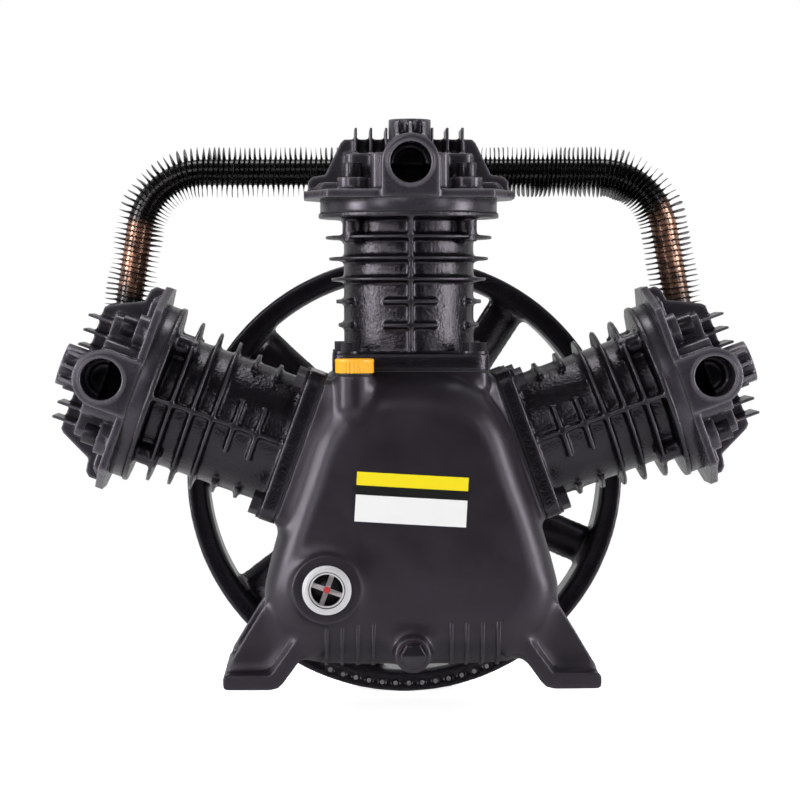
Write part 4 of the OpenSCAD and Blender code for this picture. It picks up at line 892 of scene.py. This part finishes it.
machined = [                                 # node, body, finish, edge in mm
    ("filler_cap_seal", "filler_cap", nitrileRubber, 0.3), ("sight_ring", "pump", turnedAluminium, 0.35),
    ("drain_plug", "drain_plug", plugEnamel, 0.5), ("drain_washer", "drain_plug", softCopper, 0.2),
    ("rear_cover", "pump", crankcaseEnamel, 0.8), ("rear_cover_bolts", "pump", zincSteel, 0.4),
    ("flywheel_washer", "crank", zincSteel, 0.4), ("flywheel_nut", "crank", zincSteel, 0.8),
    ("left_elbow", "pump", steelEnamel, 0.8), ("right_elbow", "pump", steelEnamel, 0.8),
    ("centre_cross", "pump", steelEnamel, 0.8), ("tube_nuts", "pump", steelEnamel, 0.7)]
for bank in bankAngles:
    machined += [(bank + "_base_bolts", "pump", steelEnamel, 0.5),
                 (bank + "_head_bolts", "pump", steelEnamel, 0.6),
                 (bank + "_valve_plate", "pump", headEnamel, 0.6)]
for node, body, material, width in machined:
    bevelledCopy(node, body, material, width)

# the rest keep their CAD shape under their real finish
plainNodes = {
    "sight_lens": clearWindow, "sight_cross": reflectorAlloy, "rear_cover_gasket": fibreGasket,
    "crank_front_half": groundSteel, "crank_rear_half": groundSteel, "crankpin": groundSteel,
    "front_bearing": groundSteel, "rear_bearing": groundSteel, "oil_seal": nitrileRubber,
    "flywheel_key": groundSteel}
for bank in bankAngles:
    plainNodes.update({bank + "_base_gasket": fibreGasket, bank + "_head_gaskets": fibreGasket,
                       bank + "_piston": castPistonAlloy, bank + "_piston_rings": groundSteel,
                       bank + "_wrist_pin": groundSteel, bank + "_con_rod": castPistonAlloy})
for node, material in plainNodes.items():
    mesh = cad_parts[node].data
    mesh.materials.clear()
    mesh.materials.append(material)
print("machined pieces ready")


# Small trim
cap = {
    "radius": 16.6, "plug": 10.7, "plugEnd": 92.0, "bottom": 102.0, "top": 114.6, "rim": 3.2,
    "grip": 0.3, "grips": 30, "steps": 360,
}


def knobForm():
    # turned knob with a plain rim over shallow grips: r = radius + grip cos(grips a)
    r, bottom, top = cap["radius"], cap["bottom"], cap["top"]
    rim = top - cap["rim"]
    levels = [(cap["plug"], cap["plugEnd"]), (cap["plug"], bottom), (r - 0.7, bottom),
              (r - 0.2, bottom + 0.5), (r - 0.2, rim - 0.4), (r + 0.3, rim), (r + 0.3, top - 1.0),
              (r - 0.6, top), (r - 3.5, top), (r - 4.3, top - 0.6), (0.5, top - 0.6)]
    middle = (filler["x"], filler["y"])
    points, faces = turnedUp([(radius, h + shaftZ) for radius, h in levels], middle, cap["steps"])
    points = points.reshape(len(levels), cap["steps"], 3)
    a = np.linspace(0, 2 * np.pi, cap["steps"], endpoint=False)
    grips = (cap["grip"] * np.cos(cap["grips"] * a))[None, :, None]
    points[3:5, :, :2] += (points[3:5, :, :2] - middle) / r * grips
    return points.reshape(-1, 3), faces


fillerKnob = joined("fillerKnob", [knobForm()], capPolyethylene)
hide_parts("filler_cap")
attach(fillerKnob, "filler_cap")

# sight glass: a near-black disc behind the four arms, painted shade of the cavity, red spot on their middle
behind = {                          # (radius, depth behind the boss's face) in mm
    "cavityShade": [(13.7, 6.4), (13.7, 5.4)],
    "spot": [(2.9, 1.49), (2.9, 1.3), (2.4, 1.1)],
}
for name, profile, material in (("shadeDiscBehindWindow", behind["cavityShade"], paintedCavityShade),
                                ("redSpotDisc", behind["spot"], redSpot)):
    form = turned([(r, sight["face"] + depth) for r, depth in profile], sightMiddle)
    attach(joined(name, [form], material), "pump")

# balance drillings: bare iron cones at their bottoms, their near-white tone partly painted glint
drilled = {"ring": 198.5, "radius": 2.1, "depth": 142.0, "from": 249.0, "to": 293.0, "count": 13,
           "steps": 24, "base": 1.8, "tip": 0.4, "tipDepth": 1.6}
coneSides = [(drilled["radius"], drilled["depth"] + drilled["base"]), (drilled["radius"], drilled["depth"]),
             (drilled["tip"], drilled["depth"] + drilled["tipDepth"])]
cones = []
for a in np.radians(np.linspace(drilled["from"], drilled["to"], drilled["count"])):
    middle = (drilled["ring"] * np.cos(a), shaftZ + drilled["ring"] * np.sin(a))
    cones.append(turned(coneSides, middle, drilled["steps"]))
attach(joined("balanceDrillings", cones, bareIronAndGlint), "crank")
print("small trim ready")
